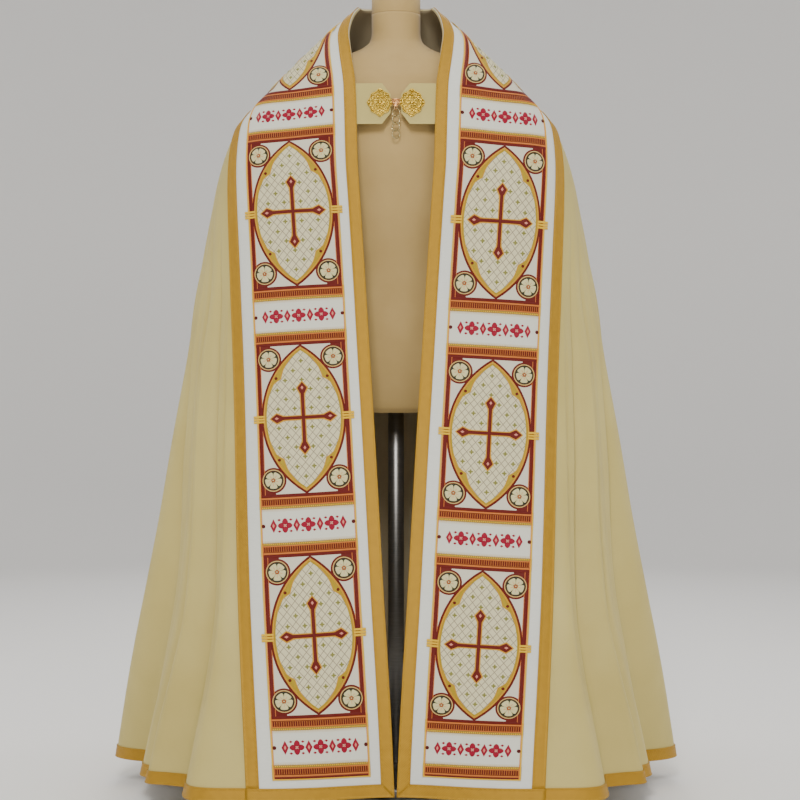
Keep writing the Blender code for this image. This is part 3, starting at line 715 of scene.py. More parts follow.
# Each thread: a shaded colour, then a lit colour that is painted onto the stitch crests as a highlight and mixed in
# by random tone.
THREADS = {
    "dark_red": threaded("dark_red_thread", (0.070, 0.002, 0.001), (0.165, 0.009, 0.003)),
    "maroon": threaded("maroon_thread", (0.050, 0.002, 0.002), (0.110, 0.006, 0.005)),
    "gold": threaded("gold_thread", (0.430, 0.190, 0.010), (0.680, 0.370, 0.035)),
    "yellow": threaded("yellow_thread", (0.560, 0.310, 0.010), (0.850, 0.550, 0.030)),
    "orange": threaded("orange_thread", (0.500, 0.120, 0.018), (0.700, 0.230, 0.045)),
    "dark_green": threaded("dark_green_thread", (0.012, 0.015, 0.007), (0.038, 0.042, 0.018)),
    "cream": threaded("cream_thread", (0.520, 0.460, 0.210), (0.730, 0.670, 0.370)),
    "olive": threaded("olive_thread", (0.150, 0.150, 0.030), (0.270, 0.260, 0.065)),
    "moss_gold": threaded("moss_gold_thread", (0.300, 0.190, 0.006), (0.500, 0.350, 0.020)),
    "crimson": threaded("crimson_thread", (0.200, 0.001, 0.012), (0.360, 0.004, 0.032)),
    "pink": threaded("pink_thread", (0.560, 0.170, 0.120), (0.720, 0.300, 0.220)),
    "beige": threaded("beige_thread", (0.500, 0.340, 0.090), (0.680, 0.520, 0.200)),
}


# Spacing, length, width and height of a knot
KNOT_SIZES = (0.0036, 0.0030, 0.0030, 0.0022)
SMALL_KNOT_SIZES = (0.0030, 0.0020, 0.0020, 0.0014)


class Work:
    """Stitched figures on a panel, kept by thread colour, in panel distances (across, down)."""

    def __init__(self, side, placed):
        self.side = side
        self.placed = placed
        self.made = {name: ([], [], []) for name in THREADS}
        self.count = dict.fromkeys(THREADS, 0)
        self.knots = {"gold": [], "beige": []}

    def knot_line(self, colour, start, end):
        """A straight line of knots between two points of the panel."""
        path = np.asarray(start) + (np.asarray(end) - start) * np.linspace(0, 1, 60)[:, None]
        along = self.placed(path[:, 1])
        if along.min() > 0.0 and along.max() < STRIP_LENGTH - PANEL_FOOT:
            line = band_line(PANEL_CENTRE[self.side] + path[:, 0], along, PANEL_HIGH + 0.0002, self.side)
            self.knots[colour].append(line)

    def add(self, colour, flat, heights, faces, uv, fan=None):
        along = self.placed(flat[:, 1])
        keep = (along > -1e-9) & (along < STRIP_LENGTH - PANEL_FOOT + 1e-9)
        kept = []
        for block in (faces, fan):
            if block is not None:
                kept += block[np.all(keep[block], axis=1)].tolist()
        if not kept:
            return
        points = on_band(PANEL_CENTRE[self.side] + flat[:, 0], along, PANEL_HIGH + heights, self.side)
        store = self.made[colour]
        store[0].append(points)
        store[1].extend([k + self.count[colour] for k in face[::-self.side]] for face in kept)
        store[2].append(uv)
        self.count[colour] += len(points)

    def line(self, colour, path, width, height=0.0007, lift=0.0, closed=False, step=0.0040):
        """A padded line of stitches along a path of (across, down) points."""
        path = np.asarray(path, float)
        if closed:
            path = np.concatenate([path, path[:1]])
        run = np.concatenate([[0.0], np.cumsum(np.linalg.norm(np.diff(path, axis=0), axis=1))])
        count = max(2, int(np.ceil(run[-1] / step)) + 1)
        at = np.unique(np.concatenate([np.linspace(0.0, run[-1], count), run]))
        path = np.stack([np.interp(at, run, path[:, k]) for k in range(2)], -1)
        ahead = np.gradient(path, axis=0)
        if closed:
            ahead[0] = ahead[-1] = (path[1] - path[0]) + (path[-1] - path[-2])
        ahead /= np.linalg.norm(ahead, axis=1)[:, None] + 1e-12
        beside = np.stack([-ahead[:, 1], ahead[:, 0]], -1)
        shares = np.array([-0.5, -0.36, 0.0, 0.36, 0.5])
        domes = np.array([-0.12, 0.72, 1.0, 0.72, -0.12])
        width = np.broadcast_to(np.asarray(width, float), at.shape) if np.ndim(width) == 0 else np.interp(
            at / at[-1], np.linspace(0, 1, len(width)), width)
        flat = path[:, None] + beside[:, None] * (shares[None, :, None] * width[:, None, None])
        heights = lift + height * np.repeat(domes[None], len(at), 0)
        uv = np.stack([np.repeat(at[:, None], 5, 1), shares[None] * width[:, None]], -1)
        index = np.arange(len(at) * 5).reshape(-1, 5)
        faces = np.stack([index[:-1, :-1], index[1:, :-1], index[1:, 1:], index[:-1, 1:]], -1).reshape(-1, 4)
        self.add(colour, flat.reshape(-1, 2), heights.ravel(), faces, uv.reshape(-1, 2))

    def pad(self, colour, outline, height=0.0008, lift=0.0, rings=(0.0, 0.35, 0.65, 0.88, 1.0), centre=None):
        """A filled figure: its outline filled towards a centre, domed like padded stitches."""
        outline = np.asarray(outline, float)
        outline = np.concatenate([outline, outline[:1]])
        run = np.concatenate([[0.0], np.cumsum(np.linalg.norm(np.diff(outline, axis=0), axis=1))])
        at = np.unique(np.concatenate([run, np.linspace(0.0, run[-1], int(run[-1] / 0.0045) + 2)]).round(9))[:-1]
        outline = np.stack([np.interp(at, run, outline[:, k]) for k in range(2)], -1)
        around = np.roll(outline, -1, axis=0)
        turn = np.sum(outline[:, 0] * around[:, 1] - outline[:, 1] * around[:, 0])
        if turn > 0:
            outline = outline[::-1]
        centre = outline.mean(0) if centre is None else np.asarray(centre, float)
        rings = np.asarray(rings)
        flat = centre + (outline - centre)[None] * rings[1:, None, None]
        dome = np.sqrt(np.clip(1 - rings ** 4, 0, 1))
        dome[-1] = -0.12
        count = len(outline)
        flat = np.concatenate([centre[None], flat.reshape(-1, 2)])
        heights = lift + height * np.concatenate([[1.0], np.repeat(dome[1:], count)])
        index = 1 + np.arange((len(rings) - 1) * count).reshape(-1, count)
        after = np.roll(index, -1, axis=1)
        quads = np.stack([index[:-1], after[:-1], after[1:], index[1:]], -1).reshape(-1, 4)
        fan = np.stack([np.zeros(count, int), after[0], index[0]], -1)
        self.add(colour, flat, heights, quads, flat, fan)

    def finish(self, name):
        found = []
        for colour, (points, faces, uvs) in self.made.items():
            if points:
                found.append(add_piece(f"{name}_{colour}", np.concatenate(points), faces,
                                       [THREADS[colour]], uv=np.concatenate(uvs)))
        found.append(sewn(f"{name}_knots", self.knots["gold"], THREADS["yellow"], *KNOT_SIZES))
        found.append(sewn(f"{name}_small_knots", self.knots["beige"], THREADS["beige"], *SMALL_KNOT_SIZES))
        return found


def stitch_nodes():
    """Rounded stitches set one after another along lines, as joined mesh."""
    tree = bpy.data.node_groups.new("stitches_along_lines", "GeometryNodeTree")
    tree.interface.new_socket("Lines", in_out="INPUT", socket_type="NodeSocketGeometry")
    for name in ("Spacing", "Length", "Width", "Height"):
        tree.interface.new_socket(name, in_out="INPUT", socket_type="NodeSocketFloat")
    tree.interface.new_socket("Unevenness", in_out="INPUT", socket_type="NodeSocketFloat")
    tree.interface.new_socket("Thread", in_out="INPUT", socket_type="NodeSocketMaterial")
    tree.interface.new_socket("Stitches", in_out="OUTPUT", socket_type="NodeSocketGeometry")
    given = tree.nodes.new("NodeGroupInput").outputs
    result = tree.nodes.new("NodeGroupOutput")

    def node(kind, values, out=0, **settings):
        made = tree.nodes.new(kind)
        for key, value in settings.items():
            setattr(made, key, value)
        for key, value in values.items():
            if isinstance(value, bpy.types.NodeSocket):
                tree.links.new(value, made.inputs[key])
            else:
                made.inputs[key].default_value = value
        return made.outputs[out]

    curve = node("GeometryNodeMeshToCurve", {"Mesh": given["Lines"]})
    even = node("GeometryNodeResampleCurve", {"Curve": curve, "Length": given["Spacing"]}, mode="LENGTH")
    spots = node("GeometryNodeCurveToPoints", {"Curve": even}, mode="EVALUATED")
    tangent = spots.node.outputs["Tangent"]
    outward = node("GeometryNodeInputNamedAttribute", {"Name": "outward"}, data_type="FLOAT_VECTOR")
    facing = node("FunctionNodeAlignRotationToVector", {"Vector": outward}, axis="Z")
    turned = node("FunctionNodeAlignRotationToVector", {"Rotation": facing, "Vector": tangent},
                  axis="X", pivot_axis="Z")
    less = node("ShaderNodeMath", {0: 1.0, 1: given["Unevenness"]}, operation="SUBTRACT")
    more = node("ShaderNodeMath", {0: 1.0, 1: given["Unevenness"]}, operation="ADD")
    vary = node("FunctionNodeRandomValue", {"Min": less, "Max": more, "Seed": 11}, out=1, data_type="FLOAT")
    vary.node.inputs[2].default_value = 1.0
    size = node("ShaderNodeCombineXYZ", {0: given["Length"], 1: given["Width"], 2: given["Height"]})
    uneven = node("ShaderNodeVectorMath", {0: size, "Scale": vary}, operation="SCALE")
    bead = node("GeometryNodeMeshUVSphere", {"Segments": 6, "Rings": 3, "Radius": 0.5})
    flat = node("ShaderNodeVectorMath", {0: bead.node.outputs["UV Map"], "Scale": 0.004}, operation="SCALE")
    mapped = node("GeometryNodeStoreNamedAttribute", {"Geometry": bead, "Name": "cut", "Value": flat},
                  data_type="FLOAT2", domain="CORNER")
    rows = node("GeometryNodeInstanceOnPoints", {"Points": spots, "Instance": mapped, "Rotation": turned,
                                                 "Scale": uneven})
    joined = node("GeometryNodeRealizeInstances", {"Geometry": rows})
    rounded = node("GeometryNodeSetShadeSmooth", {"Geometry": joined})
    threaded_rows = node("GeometryNodeSetMaterial", {"Geometry": rounded, "Material": given["Thread"]})
    tree.links.new(threaded_rows, result.inputs["Stitches"])
    return tree


STITCHES = stitch_nodes()


def sewn(name, lines, finish, spacing, length, width, height, unevenness=0.08):
    """Lines, each of points and the ways out of the cloth there, become one piece of stitches."""
    mesh = bpy.data.meshes.new(name)
    ends = np.cumsum([len(points) for points, _ in lines])
    edges = np.stack([np.arange(ends[-1] - 1), np.arange(1, ends[-1])], -1)
    edges = edges[~np.isin(edges[:, 1], ends)]
    mesh.from_pydata(np.concatenate([points for points, _ in lines]).tolist(), edges.tolist(), [])
    outward = np.concatenate([ways for _, ways in lines]).astype(np.float32)
    mesh.attributes.new("outward", "FLOAT_VECTOR", "POINT").data.foreach_set("vector", outward.ravel())
    guide = bpy.data.objects.new(name + "_lines", mesh)
    bpy.context.scene.collection.objects.link(guide)
    modifier = guide.modifiers.new("stitches", "NODES")
    modifier.node_group = STITCHES
    inputs = {"Spacing": spacing, "Length": length, "Width": width, "Height": height,
              "Unevenness": unevenness, "Thread": finish.material}
    for item in STITCHES.interface.items_tree:
        if item.in_out == "INPUT" and item.name in inputs:
            modifier[item.identifier] = inputs[item.name]
    view = bpy.context.evaluated_depsgraph_get()
    made = bpy.data.meshes.new_from_object(guide.evaluated_get(view), preserve_all_data_layers=True,
                                           depsgraph=view)
    guide.modifiers.remove(modifier)
    bpy.data.objects.remove(guide)
    made.name = name
    found = bpy.data.objects.new(name, made)
    bpy.context.scene.collection.objects.link(found)
    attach(found, "vestment")
    return found


def band_line(across, along, height, side):
    """A line over the band for stitches: its points, and the ways out of the cloth."""
    across, along = np.broadcast_arrays(np.asarray(across, float), np.asarray(along, float))
    points = on_band(across, along, height + 0 * along, side)
    ways = on_band(across, along, height + 0.001 + 0 * along, side) - points
    return points, ways * 1000.0


def arc(centre, radius, start, end, count=24):
    turn = np.linspace(start, end, count)
    return np.stack([centre[0] + radius * np.cos(turn), centre[1] + radius * np.sin(turn)], -1)


def oval(inset, count=72):
    """The pointed oval, drawn in by an inset: two arcs that meet at top and bottom."""
    half_width, radius = OVAL_HALF_WIDTH - inset, OVAL_RADIUS - inset
    half = np.arccos((radius - half_width) / radius)
    turn = np.linspace(-half, half, count)
    right = np.stack([radius * np.cos(turn) - radius + half_width, radius * np.sin(turn)], -1)
    return np.concatenate([right[:-1], -right[:-1]])


def moved(shape, across, down, wide=1.0, high=1.0):
    return np.asarray(shape) * (wide, high) + (across, down)


def medallion(work, down):
    """One pointed oval with its cross, cusps, corner roses and side ties."""
    def put(shape):
        return np.asarray(shape) + (0.0, down)

    # Corner blocks and roses
    for a in (-1, 1):
        for b in (-1, 1):
            centre = np.array([a * 0.0605, down + b * 0.1175])
            corner = [(a * 0.0840, down + b * 0.1440), (a * 0.0560, down + b * 0.1440),
                      (a * 0.0600, down + b * 0.1180), (a * 0.0840, down + b * 0.1020)]
            work.pad("dark_red", corner, 0.0004, rings=(0.0, 0.5, 0.94, 1.0))
            work.pad("dark_red", arc(centre, 0.0242, 0, 2 * pi, 41)[:-1], 0.0006, 0.0001)
            work.line("beige", arc(centre, 0.0198, 0, 2 * pi, 37)[:-1], 0.0018, 0.0006, 0.0005, closed=True)
            work.pad("dark_green", arc(centre, 0.0190, 0, 2 * pi, 37)[:-1], 0.0007, 0.0003,
                     rings=(0.0, 0.6, 0.94, 1.0))
            for n in range(5):
                turn = pi / 2 + n * 2 * pi / 5
                away = np.array([cos(turn), sin(turn)])
                beside = np.array([-away[1], away[0]])
                around = np.linspace(0, 2 * pi, 19)[:-1]
                petal = centre + away * (0.0099 + 0.0066 * np.cos(around) - 0.0010 * np.cos(2 * around))[:, None]
                petal = petal + beside * (0.0068 * np.sin(around) * (1 + 0.28 * np.cos(around)))[:, None]
                work.pad("cream", petal, 0.0010, 0.0010)
                fold = np.array([centre + away * 0.0050, centre + away * 0.0102])
                work.line("orange", fold, 0.0007, 0.0004, 0.0019)
            work.pad("dark_red", arc(centre, 0.0042, 0, 2 * pi, 17)[:-1], 0.0008, 0.0015)
            work.line("orange", arc(centre, 0.0030, 0, 2 * pi, 17)[:-1], 0.0010, 0.0006, 0.0020, closed=True)
            work.pad("cream", arc(centre, 0.0015, 0, 2 * pi, 13)[:-1], 0.0007, 0.0022)
    # Pointed oval
    work.line("dark_red", put(oval(0.0000)), 0.0042, 0.0008, closed=True)
    work.line("gold", put(oval(0.0036)), 0.0034, 0.0011, 0.0001, closed=True)
    work.line("moss_gold", put(oval(0.0066)), 0.0030, 0.0009, 0.0001, closed=True)
    # Cusps
    inner_radius = OVAL_RADIUS - 0.0075
    inner_half = OVAL_HALF_WIDTH - 0.0075

    def edge_across(v):
        return np.sqrt(inner_radius ** 2 - v * v) - inner_radius + inner_half

    def in_cusp(at):
        return abs(at[0]) > 0.033 and 0.060 < abs(at[1]) < 0.112

    for a in (-1, 1):
        for b in (-1, 1):
            back = np.linspace(0.1180, 0.0440, 15)
            outer = np.stack([edge_across(back), back], -1)
            tip = np.array([0.0390, 0.0785])
            shares = np.linspace(0, 1, 11)[1:-1, None]
            below = outer[-1] + (tip - outer[-1]) * shares
            below += np.array([0.84, 0.55]) * (0.0060 * np.sin(pi * shares))
            above = tip + (outer[0] - tip) * shares
            above += np.array([0.84, 0.55]) * (0.0034 * np.sin(pi * shares))
            cusp = np.concatenate([outer, below, tip[None], above]) * (a, b) + (0.0, down)
            work.pad("moss_gold", cusp, 0.0007, 0.0, centre=(a * 0.0480, down + b * 0.0775))
            inner = np.concatenate([outer[-1:], below, tip[None], above, outer[:1]]) * (a, b) + (0.0, down)
            work.line("gold", inner, 0.0016, 0.0009, 0.0002)
            spot = arc((a * 0.0478, down + b * 0.0795), 0.0030, 0, 2 * pi, 13)[:-1]
            work.pad("dark_red", spot, 0.0010, 0.0006)
    # Florets of the diaper, one in every other diamond
    for m in range(-5, 6):
        for n in range(-7, 8):
            if (m + n) % 2 == 0:
                at = np.array([m * LATTICE_ACROSS, n * LATTICE_DOWN * 0.5 * 2])
                if abs(at[0]) < 0.004 and abs(at[1]) < 0.074 or abs(at[1]) < 0.004 and abs(at[0]) < 0.064:
                    continue
                if abs(at[1]) < 0.125 and abs(at[0]) < edge_across(at[1]) - 0.006 and not in_cusp(at):
                    turn = np.linspace(0, 2 * pi, 17)[:-1]
                    reach = 0.0039 + 0.0014 * np.cos(4 * turn)
                    floret = at + reach[:, None] * np.stack([np.cos(turn), np.sin(turn)], -1)
                    work.pad("olive", floret + (0.0, down), 0.0007, rings=(0.0, 0.6, 1.0))
    # Cross with lozenge ends, outlined in gold
    for high, turned in ((0.0710, False), (0.0620, True)):
        arm = [(-0.0035, 0.0), (-0.0035, high - 0.030), (-0.0044, high - 0.024), (-0.0098, high - 0.0125),
               (-0.0030, high - 0.0040), (0.0, high), (0.0030, high - 0.0040), (0.0098, high - 0.0125),
               (0.0044, high - 0.024), (0.0035, high - 0.030), (0.0035, 0.0)]
        for sign in (1, -1):
            shape = np.array(arm) * (1, sign)
            heart = np.array([0.0, sign * (high - 0.0125)])
            if turned:
                shape, heart = shape[:, ::-1], heart[::-1]
            work.line("gold", put(shape), 0.0034, 0.0008)
            work.pad("dark_red", put(shape[[2, 3, 4, 5, 6, 7, 8]]), 0.0010, 0.0003, centre=put([heart])[0])
            bar = np.array([shape[0] + shape[-1], shape[2] + shape[8]]) * 0.5
            bar[1] += (bar[1] - bar[0]) * 0.08
            work.line("dark_red", put(bar), 0.0078, 0.0011, 0.0002)
            jewel = np.array([(0, -0.0040), (0.0027, 0), (0, 0.0040), (-0.0027, 0)])
            jewel = (jewel[:, ::-1] if turned else jewel) + heart
            work.pad("pink", put(jewel), 0.0009, 0.0012)
    # Side ties of three bars
    for a in (-1, 1):
        for bar in (-1, 0, 1):
            tie = [(a * 0.0725, down + bar * 0.0052), (a * 0.0945, down + bar * 0.0052)]
            work.line("yellow", tie, 0.0044, 0.0012, 0.0004, step=0.004)


def border_row(work, down):
    """The rows between two ovals: frame lines, ladders, beaded lines and the ivory row."""
    half = 0.0845
    for b in (-1, 1):
        def level(v):
            return [(-half, down + b * v), (half, down + b * v)]

        frame_at = 0.5 * REPEAT - FRAME_DOWN
        work.line("dark_red", level(frame_at), 0.0062, 0.0007)
        work.line("orange", level(frame_at - 0.0050), 0.0028, 0.0008)
        work.line("maroon", level(frame_at - 0.0068), 0.0010, 0.0006)
        for across in np.arange(-half + 0.0022, half, 0.0041):
            bar = [(across, down + b * (frame_at - 0.0078)), (across, down + b * (frame_at - 0.0168))]
            work.line("dark_red", bar, 0.0028, 0.0009, step=0.005)
        work.line("orange", level(frame_at - 0.0182), 0.0018, 0.0007)
        for colour, at in (("gold", frame_at - 0.0218), ("beige", frame_at - 0.0253)):
            work.knot_line(colour, (-half + 0.0020, down + b * at), (half - 0.0020, down + b * at))
    # Crimson figures: a quatrefoil and a lozenge by turns, joined by small leaves
    for n in range(-3, 4):
        across = n * 0.0212
        if n % 2:
            lozenge = [(across, down - 0.0130), (across + 0.0066, down),
                       (across, down + 0.0130), (across - 0.0066, down)]
            work.pad("crimson", lozenge, 0.0010)
            work.pad("pink", moved(lozenge, across * 0.64, down * 0.64, 0.36, 0.36), 0.0006, 0.0009)
        else:
            for turn in np.arange(4) * pi / 2:
                away = np.array([cos(turn), sin(turn)])
                leaf_at = np.array([across, down]) + away * 0.0078
                around = np.linspace(0, 2 * pi, 17)[:-1]
                leaf = leaf_at + away * (0.0058 * np.cos(around))[:, None]
                fat = 0.0054 * np.sin(around) * (1 - 0.25 * np.cos(around))
                work.pad("crimson", leaf + np.array([-away[1], away[0]]) * fat[:, None], 0.0010)
            work.pad("pink", arc((across, down), 0.0024, 0, 2 * pi, 11)[:-1], 0.0009, 0.0006)
    for n in np.arange(-3, 3) + 0.5:
        for b in (-1, 1):
            leaf = [(n * 0.0212 - 0.0034, down + b * 0.0105), (n * 0.0212, down + b * 0.0080),
                    (n * 0.0212 + 0.0034, down + b * 0.0105), (n * 0.0212, down + b * 0.0130)]
            work.pad("crimson", leaf, 0.0009)
    for a in (-1, 1):
        work.pad("maroon", arc((a * 0.0825, down), 0.0036, 0, 2 * pi, 15)[:-1], 0.0012, 0.0004)


linen = Finish("panel_linen", roughness=0.75, specular_ior_level=0.25)
panel_u, panel_v, linen_thread_highlight = woven(linen, 0.0009, 0.22, 0.0002)
folded_v = ((panel_v / REPEAT + 0.5).part() - 0.5) * REPEAT
oval_reach = panel_u.size() + (OVAL_RADIUS - OVAL_HALF_WIDTH)
in_oval = (oval_reach * oval_reach + folded_v * folded_v) < OVAL_RADIUS ** 2
lines = None
for sign in (1, -1):
    slant = panel_u / (2 * LATTICE_ACROSS) + folded_v * (sign / (2 * LATTICE_DOWN))
    for offset in (0.29, 0.71):
        near = ((slant - offset + 0.5).part() - 0.5).size() < 0.026
        lines = near if lines is None else lines.maths("MAXIMUM", near)
row_v = (0.5 * REPEAT - folded_v.size())
in_row = row_v < IVORY_ROW_HALF
in_beads = (row_v < 0.5 * REPEAT - FRAME_DOWN) * (row_v > IVORY_ROW_HALF + 0.0048)
in_ladder = (row_v < 0.5 * REPEAT - FRAME_DOWN) * (row_v > 0.5 * REPEAT - FRAME_DOWN - 0.0185)
# Painted highlight: the linen's raised threads are mixed towards the lighter ground colour.
ground = linen.mix(linen_thread_highlight * 0.3, (0.590, 0.550, 0.430), (0.670, 0.630, 0.500))
ground = linen.mix(in_oval, ground, (0.610, 0.560, 0.350))
ground = linen.mix(in_oval * lines * 0.8, ground, (0.170, 0.135, 0.105))
ground = linen.mix(in_row, ground, (0.640, 0.640, 0.540))
ground = linen.mix(in_beads, ground, (0.300, 0.190, 0.030))
ground = linen.mix(in_ladder, ground, (0.400, 0.130, 0.025))
linen.put("Base Color", ground)

def row_map(side):
    """Pattern distance down from the lowest cross, and distance along the band, both ways."""
    heights = ROWS[:, ROW_COLUMNS.index("left" if side > 0 else "right")][::-1]
    pattern = -0.5 * REPEAT * (np.arange(len(ROWS))[::-1] - 2)
    along = STRIP_LENGTH - heights
    steep = np.gradient(along, pattern)
    fine = np.linspace(pattern[0], pattern[-1], 300)
    placed = read((pattern, along, steep), fine)
    return (lambda v: np.interp(v, fine, placed)), (lambda a: np.interp(a, placed, fine))


for side_name, side in SIDES:
    placed, pattern_at = row_map(side)
    panel_alongs = np.linspace(0.0, STRIP_LENGTH - PANEL_FOOT, 250)
    centre = PANEL_CENTRE[side]
    across, along = np.meshgrid(centre + PANEL_WIDTH * np.linspace(-0.5, 0.5, 30), panel_alongs)
    points, faces, uv = band_wall(across, along, PANEL_LOW, PANEL_HIGH, side)
    uv = np.stack([uv[:, 0] - centre, pattern_at(uv[:, 1])], -1)
    add_piece("panel_linen_" + side_name, points, faces, [linen], uv=uv)
    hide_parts("panel_" + side_name)

    work = Work(side, placed)
    top, foot = pattern_at(0.0), pattern_at(STRIP_LENGTH - PANEL_FOOT)
    for a in (-1, 1):
        work.line("yellow", [(a * 0.0873, top), (a * 0.0873, foot)], 0.0026, 0.0009)
        work.line("orange", [(a * 0.0852, top), (a * 0.0852, foot)], 0.0014, 0.0006)
        for k in range(5):
            side_line = [(a * 0.0810, -k * REPEAT - FRAME_DOWN), (a * 0.0810, -k * REPEAT + FRAME_DOWN)]
            work.line("dark_red", side_line, 0.0072, 0.0007)
            work.line("orange", np.array(side_line) - (a * 0.0042, 0.0), 0.0014, 0.0006)
    work.line("yellow", [(-0.0873, foot - 0.0015), (0.0873, foot - 0.0015)], 0.0030, 0.0009)
    for k in range(5):
        medallion(work, -k * REPEAT)
    for k in range(6):
        border_row(work, (0.5 - k) * REPEAT)
    embroidery = work.finish("embroidery_" + side_name)

# ---- Gold braids
# A flat mustard-gold braid edges both sides of each band and the hem, with a corded edge.
# It is mitred where a front edge meets the hem.
BRAID_HIGH = UPPER_LOW + 0.0010
# Shares of the braid's width and its thickness over the flat there: a cord, a groove, a rib
BRAID_SHARES = np.array([0.0, 0.02, 0.055, 0.09, 0.12, 0.25, 0.5, 0.75, 0.88, 0.91, 0.945, 0.98, 1.0])
BRAID_RIBS = 0.001 * np.array([0.0, 0.5, 0.75, 0.5, 0.0, 0.22, 0.3, 0.22, 0.0, 0.5, 0.75, 0.5, 0.0])
braid = Finish("gold_braid", metallic=0.30, specular_ior_level=0.30)
braid_u, braid_v, _ = woven(braid, 0.0016, 0.5, 0.0004)
chevron = ((braid_v + braid_u.size()) / 0.0045).part() - 0.5
braid_tone = braid.noise(braid.place("cut", (80.0, 80.0, 1.0)), 1.0, 3.0)
braid_mix = braid_tone * 0.55 + chevron.size() * 0.5
braid.put("Base Color", braid.mix(braid_mix, (0.300, 0.150, 0.006), (0.560, 0.320, 0.022)))
braid.put("Roughness", braid_tone * 0.25 + 0.38)


def braid_strip(name, across, along, side, node):
    ribs = BRAID_RIBS[None, :] if across.shape[1] == len(BRAID_RIBS) else BRAID_RIBS[:, None]
    points, faces, uv = band_wall(across, along, UPPER_LOW, BRAID_HIGH + ribs, side)
    found = add_piece(name, points, faces, [braid], uv=uv)
    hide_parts(node)
    return found


# A shaded and a lit colour, with the stitch crests painted lighter as a highlight.
braid_thread = threaded("braid_thread", (0.360, 0.190, 0.010), (0.600, 0.360, 0.035))
GROOVES = (0.12 * BRAID_WIDTH, 0.88 * BRAID_WIDTH)
# Spacing, length, width and height of a stitch
BRAID_STITCH_SIZES = (0.0085, 0.0064, 0.0010, 0.0008)
shares = np.linspace(0.0, 1.0, 260)[:, None]
for side_name, side in SIDES:
    edge = BRAID_WIDTH * BRAID_SHARES[None, :] + 0 * shares
    inner_along = shares * (STRIP_LENGTH - edge)
    braid_strip("inner_braid_on_" + side_name, edge, inner_along, side,
                              "inner_braid_" + side_name)
    outer_along = shares * (STRIP_LENGTH - BRAID_WIDTH) + 0 * edge
    outer_across = edge + BAND_WIDTH - BRAID_WIDTH
    braid_strip("outer_braid_on_" + side_name, outer_across, outer_along, side,
                              "outer_braid_" + side_name)
    rise = BRAID_WIDTH * (1 - BRAID_SHARES[:, None])
    across_share = np.linspace(0.0, 1.0, 50)[None, :]
    hem_across = rise + across_share * (BAND_WIDTH - rise)
    hem_along = STRIP_LENGTH - rise + 0 * hem_across
    braid_strip("hem_braid_on_" + side_name, hem_across, hem_along, side,
                              "hem_braid_" + side_name)
    lines = []
    for groove in GROOVES:
        lines.append(band_line(groove, shares[:, 0] * (STRIP_LENGTH - groove), BRAID_HIGH, side))
        outer = BAND_WIDTH - groove
        lines.append(band_line(outer, shares[:, 0] * (STRIP_LENGTH - BRAID_WIDTH), BRAID_HIGH, side))
        foot_across = groove + shares[:, 0] * (BAND_WIDTH - groove)
        lines.append(band_line(foot_across, STRIP_LENGTH - groove, BRAID_HIGH, side))
    sewing = sewn("braid_stitches_" + side_name, lines, braid_thread, *BRAID_STITCH_SIZES)

hem_rows = HEM_Z + BRAID_WIDTH * BRAID_SHARES
hem_places = np.linspace(0.0, 1.0, 2 * BODY_COLUMNS + 1)
hem_grid = body_grid(hem_rows, hem_places)
hem_points, hem_quads, hem_indexes = welded([hem_grid, flipped(hem_grid)])
hem_normals = point_normals(hem_points, hem_quads)
hem_uv = np.zeros((len(hem_points), 2))
hem_run = run_along(hem_grid, 1)
for index, uv_run in zip(hem_indexes, (hem_run, -hem_run[:, ::-1])):
    hem_uv[index] = np.stack([np.repeat((hem_rows - HEM_Z)[:, None], hem_run.shape[1], 1), uv_run], -1)
hem_rib = np.interp(hem_uv[:, 0] / BRAID_WIDTH, BRAID_SHARES, BRAID_RIBS)[:, None]
points, faces, kinds, uv = wall(hem_points, hem_quads, hem_normals, BAND_LOW, BAND_HIGH + hem_rib, hem_uv)
hem_piece = add_piece("hem_braid_round", points, faces, [braid], uv=uv)
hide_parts("hem_braid_body")
hem_lines = [(hem_points[index[row]] + hem_normals[index[row]] * BAND_HIGH, hem_normals[index[row]])
             for index in hem_indexes for row in (4, 8)]
hem_sewing = sewn("hem_stitches_round", hem_lines, braid_thread, *BRAID_STITCH_SIZES)

# ---- Neck lining
# A facing inside the neck, seen between the band and the dress form; its grey-brown colour is painted shade over a
# pale grey cloth.
lining_across, lining_along = np.meshgrid(np.linspace(0.0, 0.105, 16), np.linspace(0.0, 0.312, 70))
lining_points, lining_faces, lining_uv = [], [], []
for side_name, side in SIDES:
    points, faces, uv = band_wall(lining_across, lining_along, -0.0035, -0.0023, side)
    lining_faces += [[int(k) + sum(map(len, lining_points)) for k in face] for face in faces]
    lining_points.append(points)
    lining_uv.append(uv)
facing = add_piece("neck_facing", np.concatenate(lining_points), lining_faces, [lining_finish],
                   uv=np.concatenate(lining_uv))
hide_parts("neck_lining")

# ---- Chest tabs
# Two cream cloth tabs with mitred ends, sewn inside the front edges; they carry the clasp.
TAB_LOW_Z = 1.2995
TAB_HIGH_Z = 1.3825
TAB_OUTER_X = 0.094
TAB_END_X = 0.0100
TAB_CORNER_X = 0.0270
TAB_CLOTH = 0.0018
TAB_BULGE = 0.002
TAB_LEAN = 0.30
TAB_INSET = 0.0052
CHEST_Z = 0.5 * (TAB_LOW_Z + TAB_HIGH_Z)
TAB_HALF = 0.5 * (TAB_HIGH_Z - TAB_LOW_Z)


def chest_y(x, z):
    """The tabs' front face, bowed a little forward and leaning back with the chest."""
    bow = TAB_BULGE * (1 - (x / TAB_OUTER_X) ** 2)
    return float(read(RING["edge_y"], CHEST_Z)) + TAB_INSET - bow + TAB_LEAN * (z - CHEST_Z)


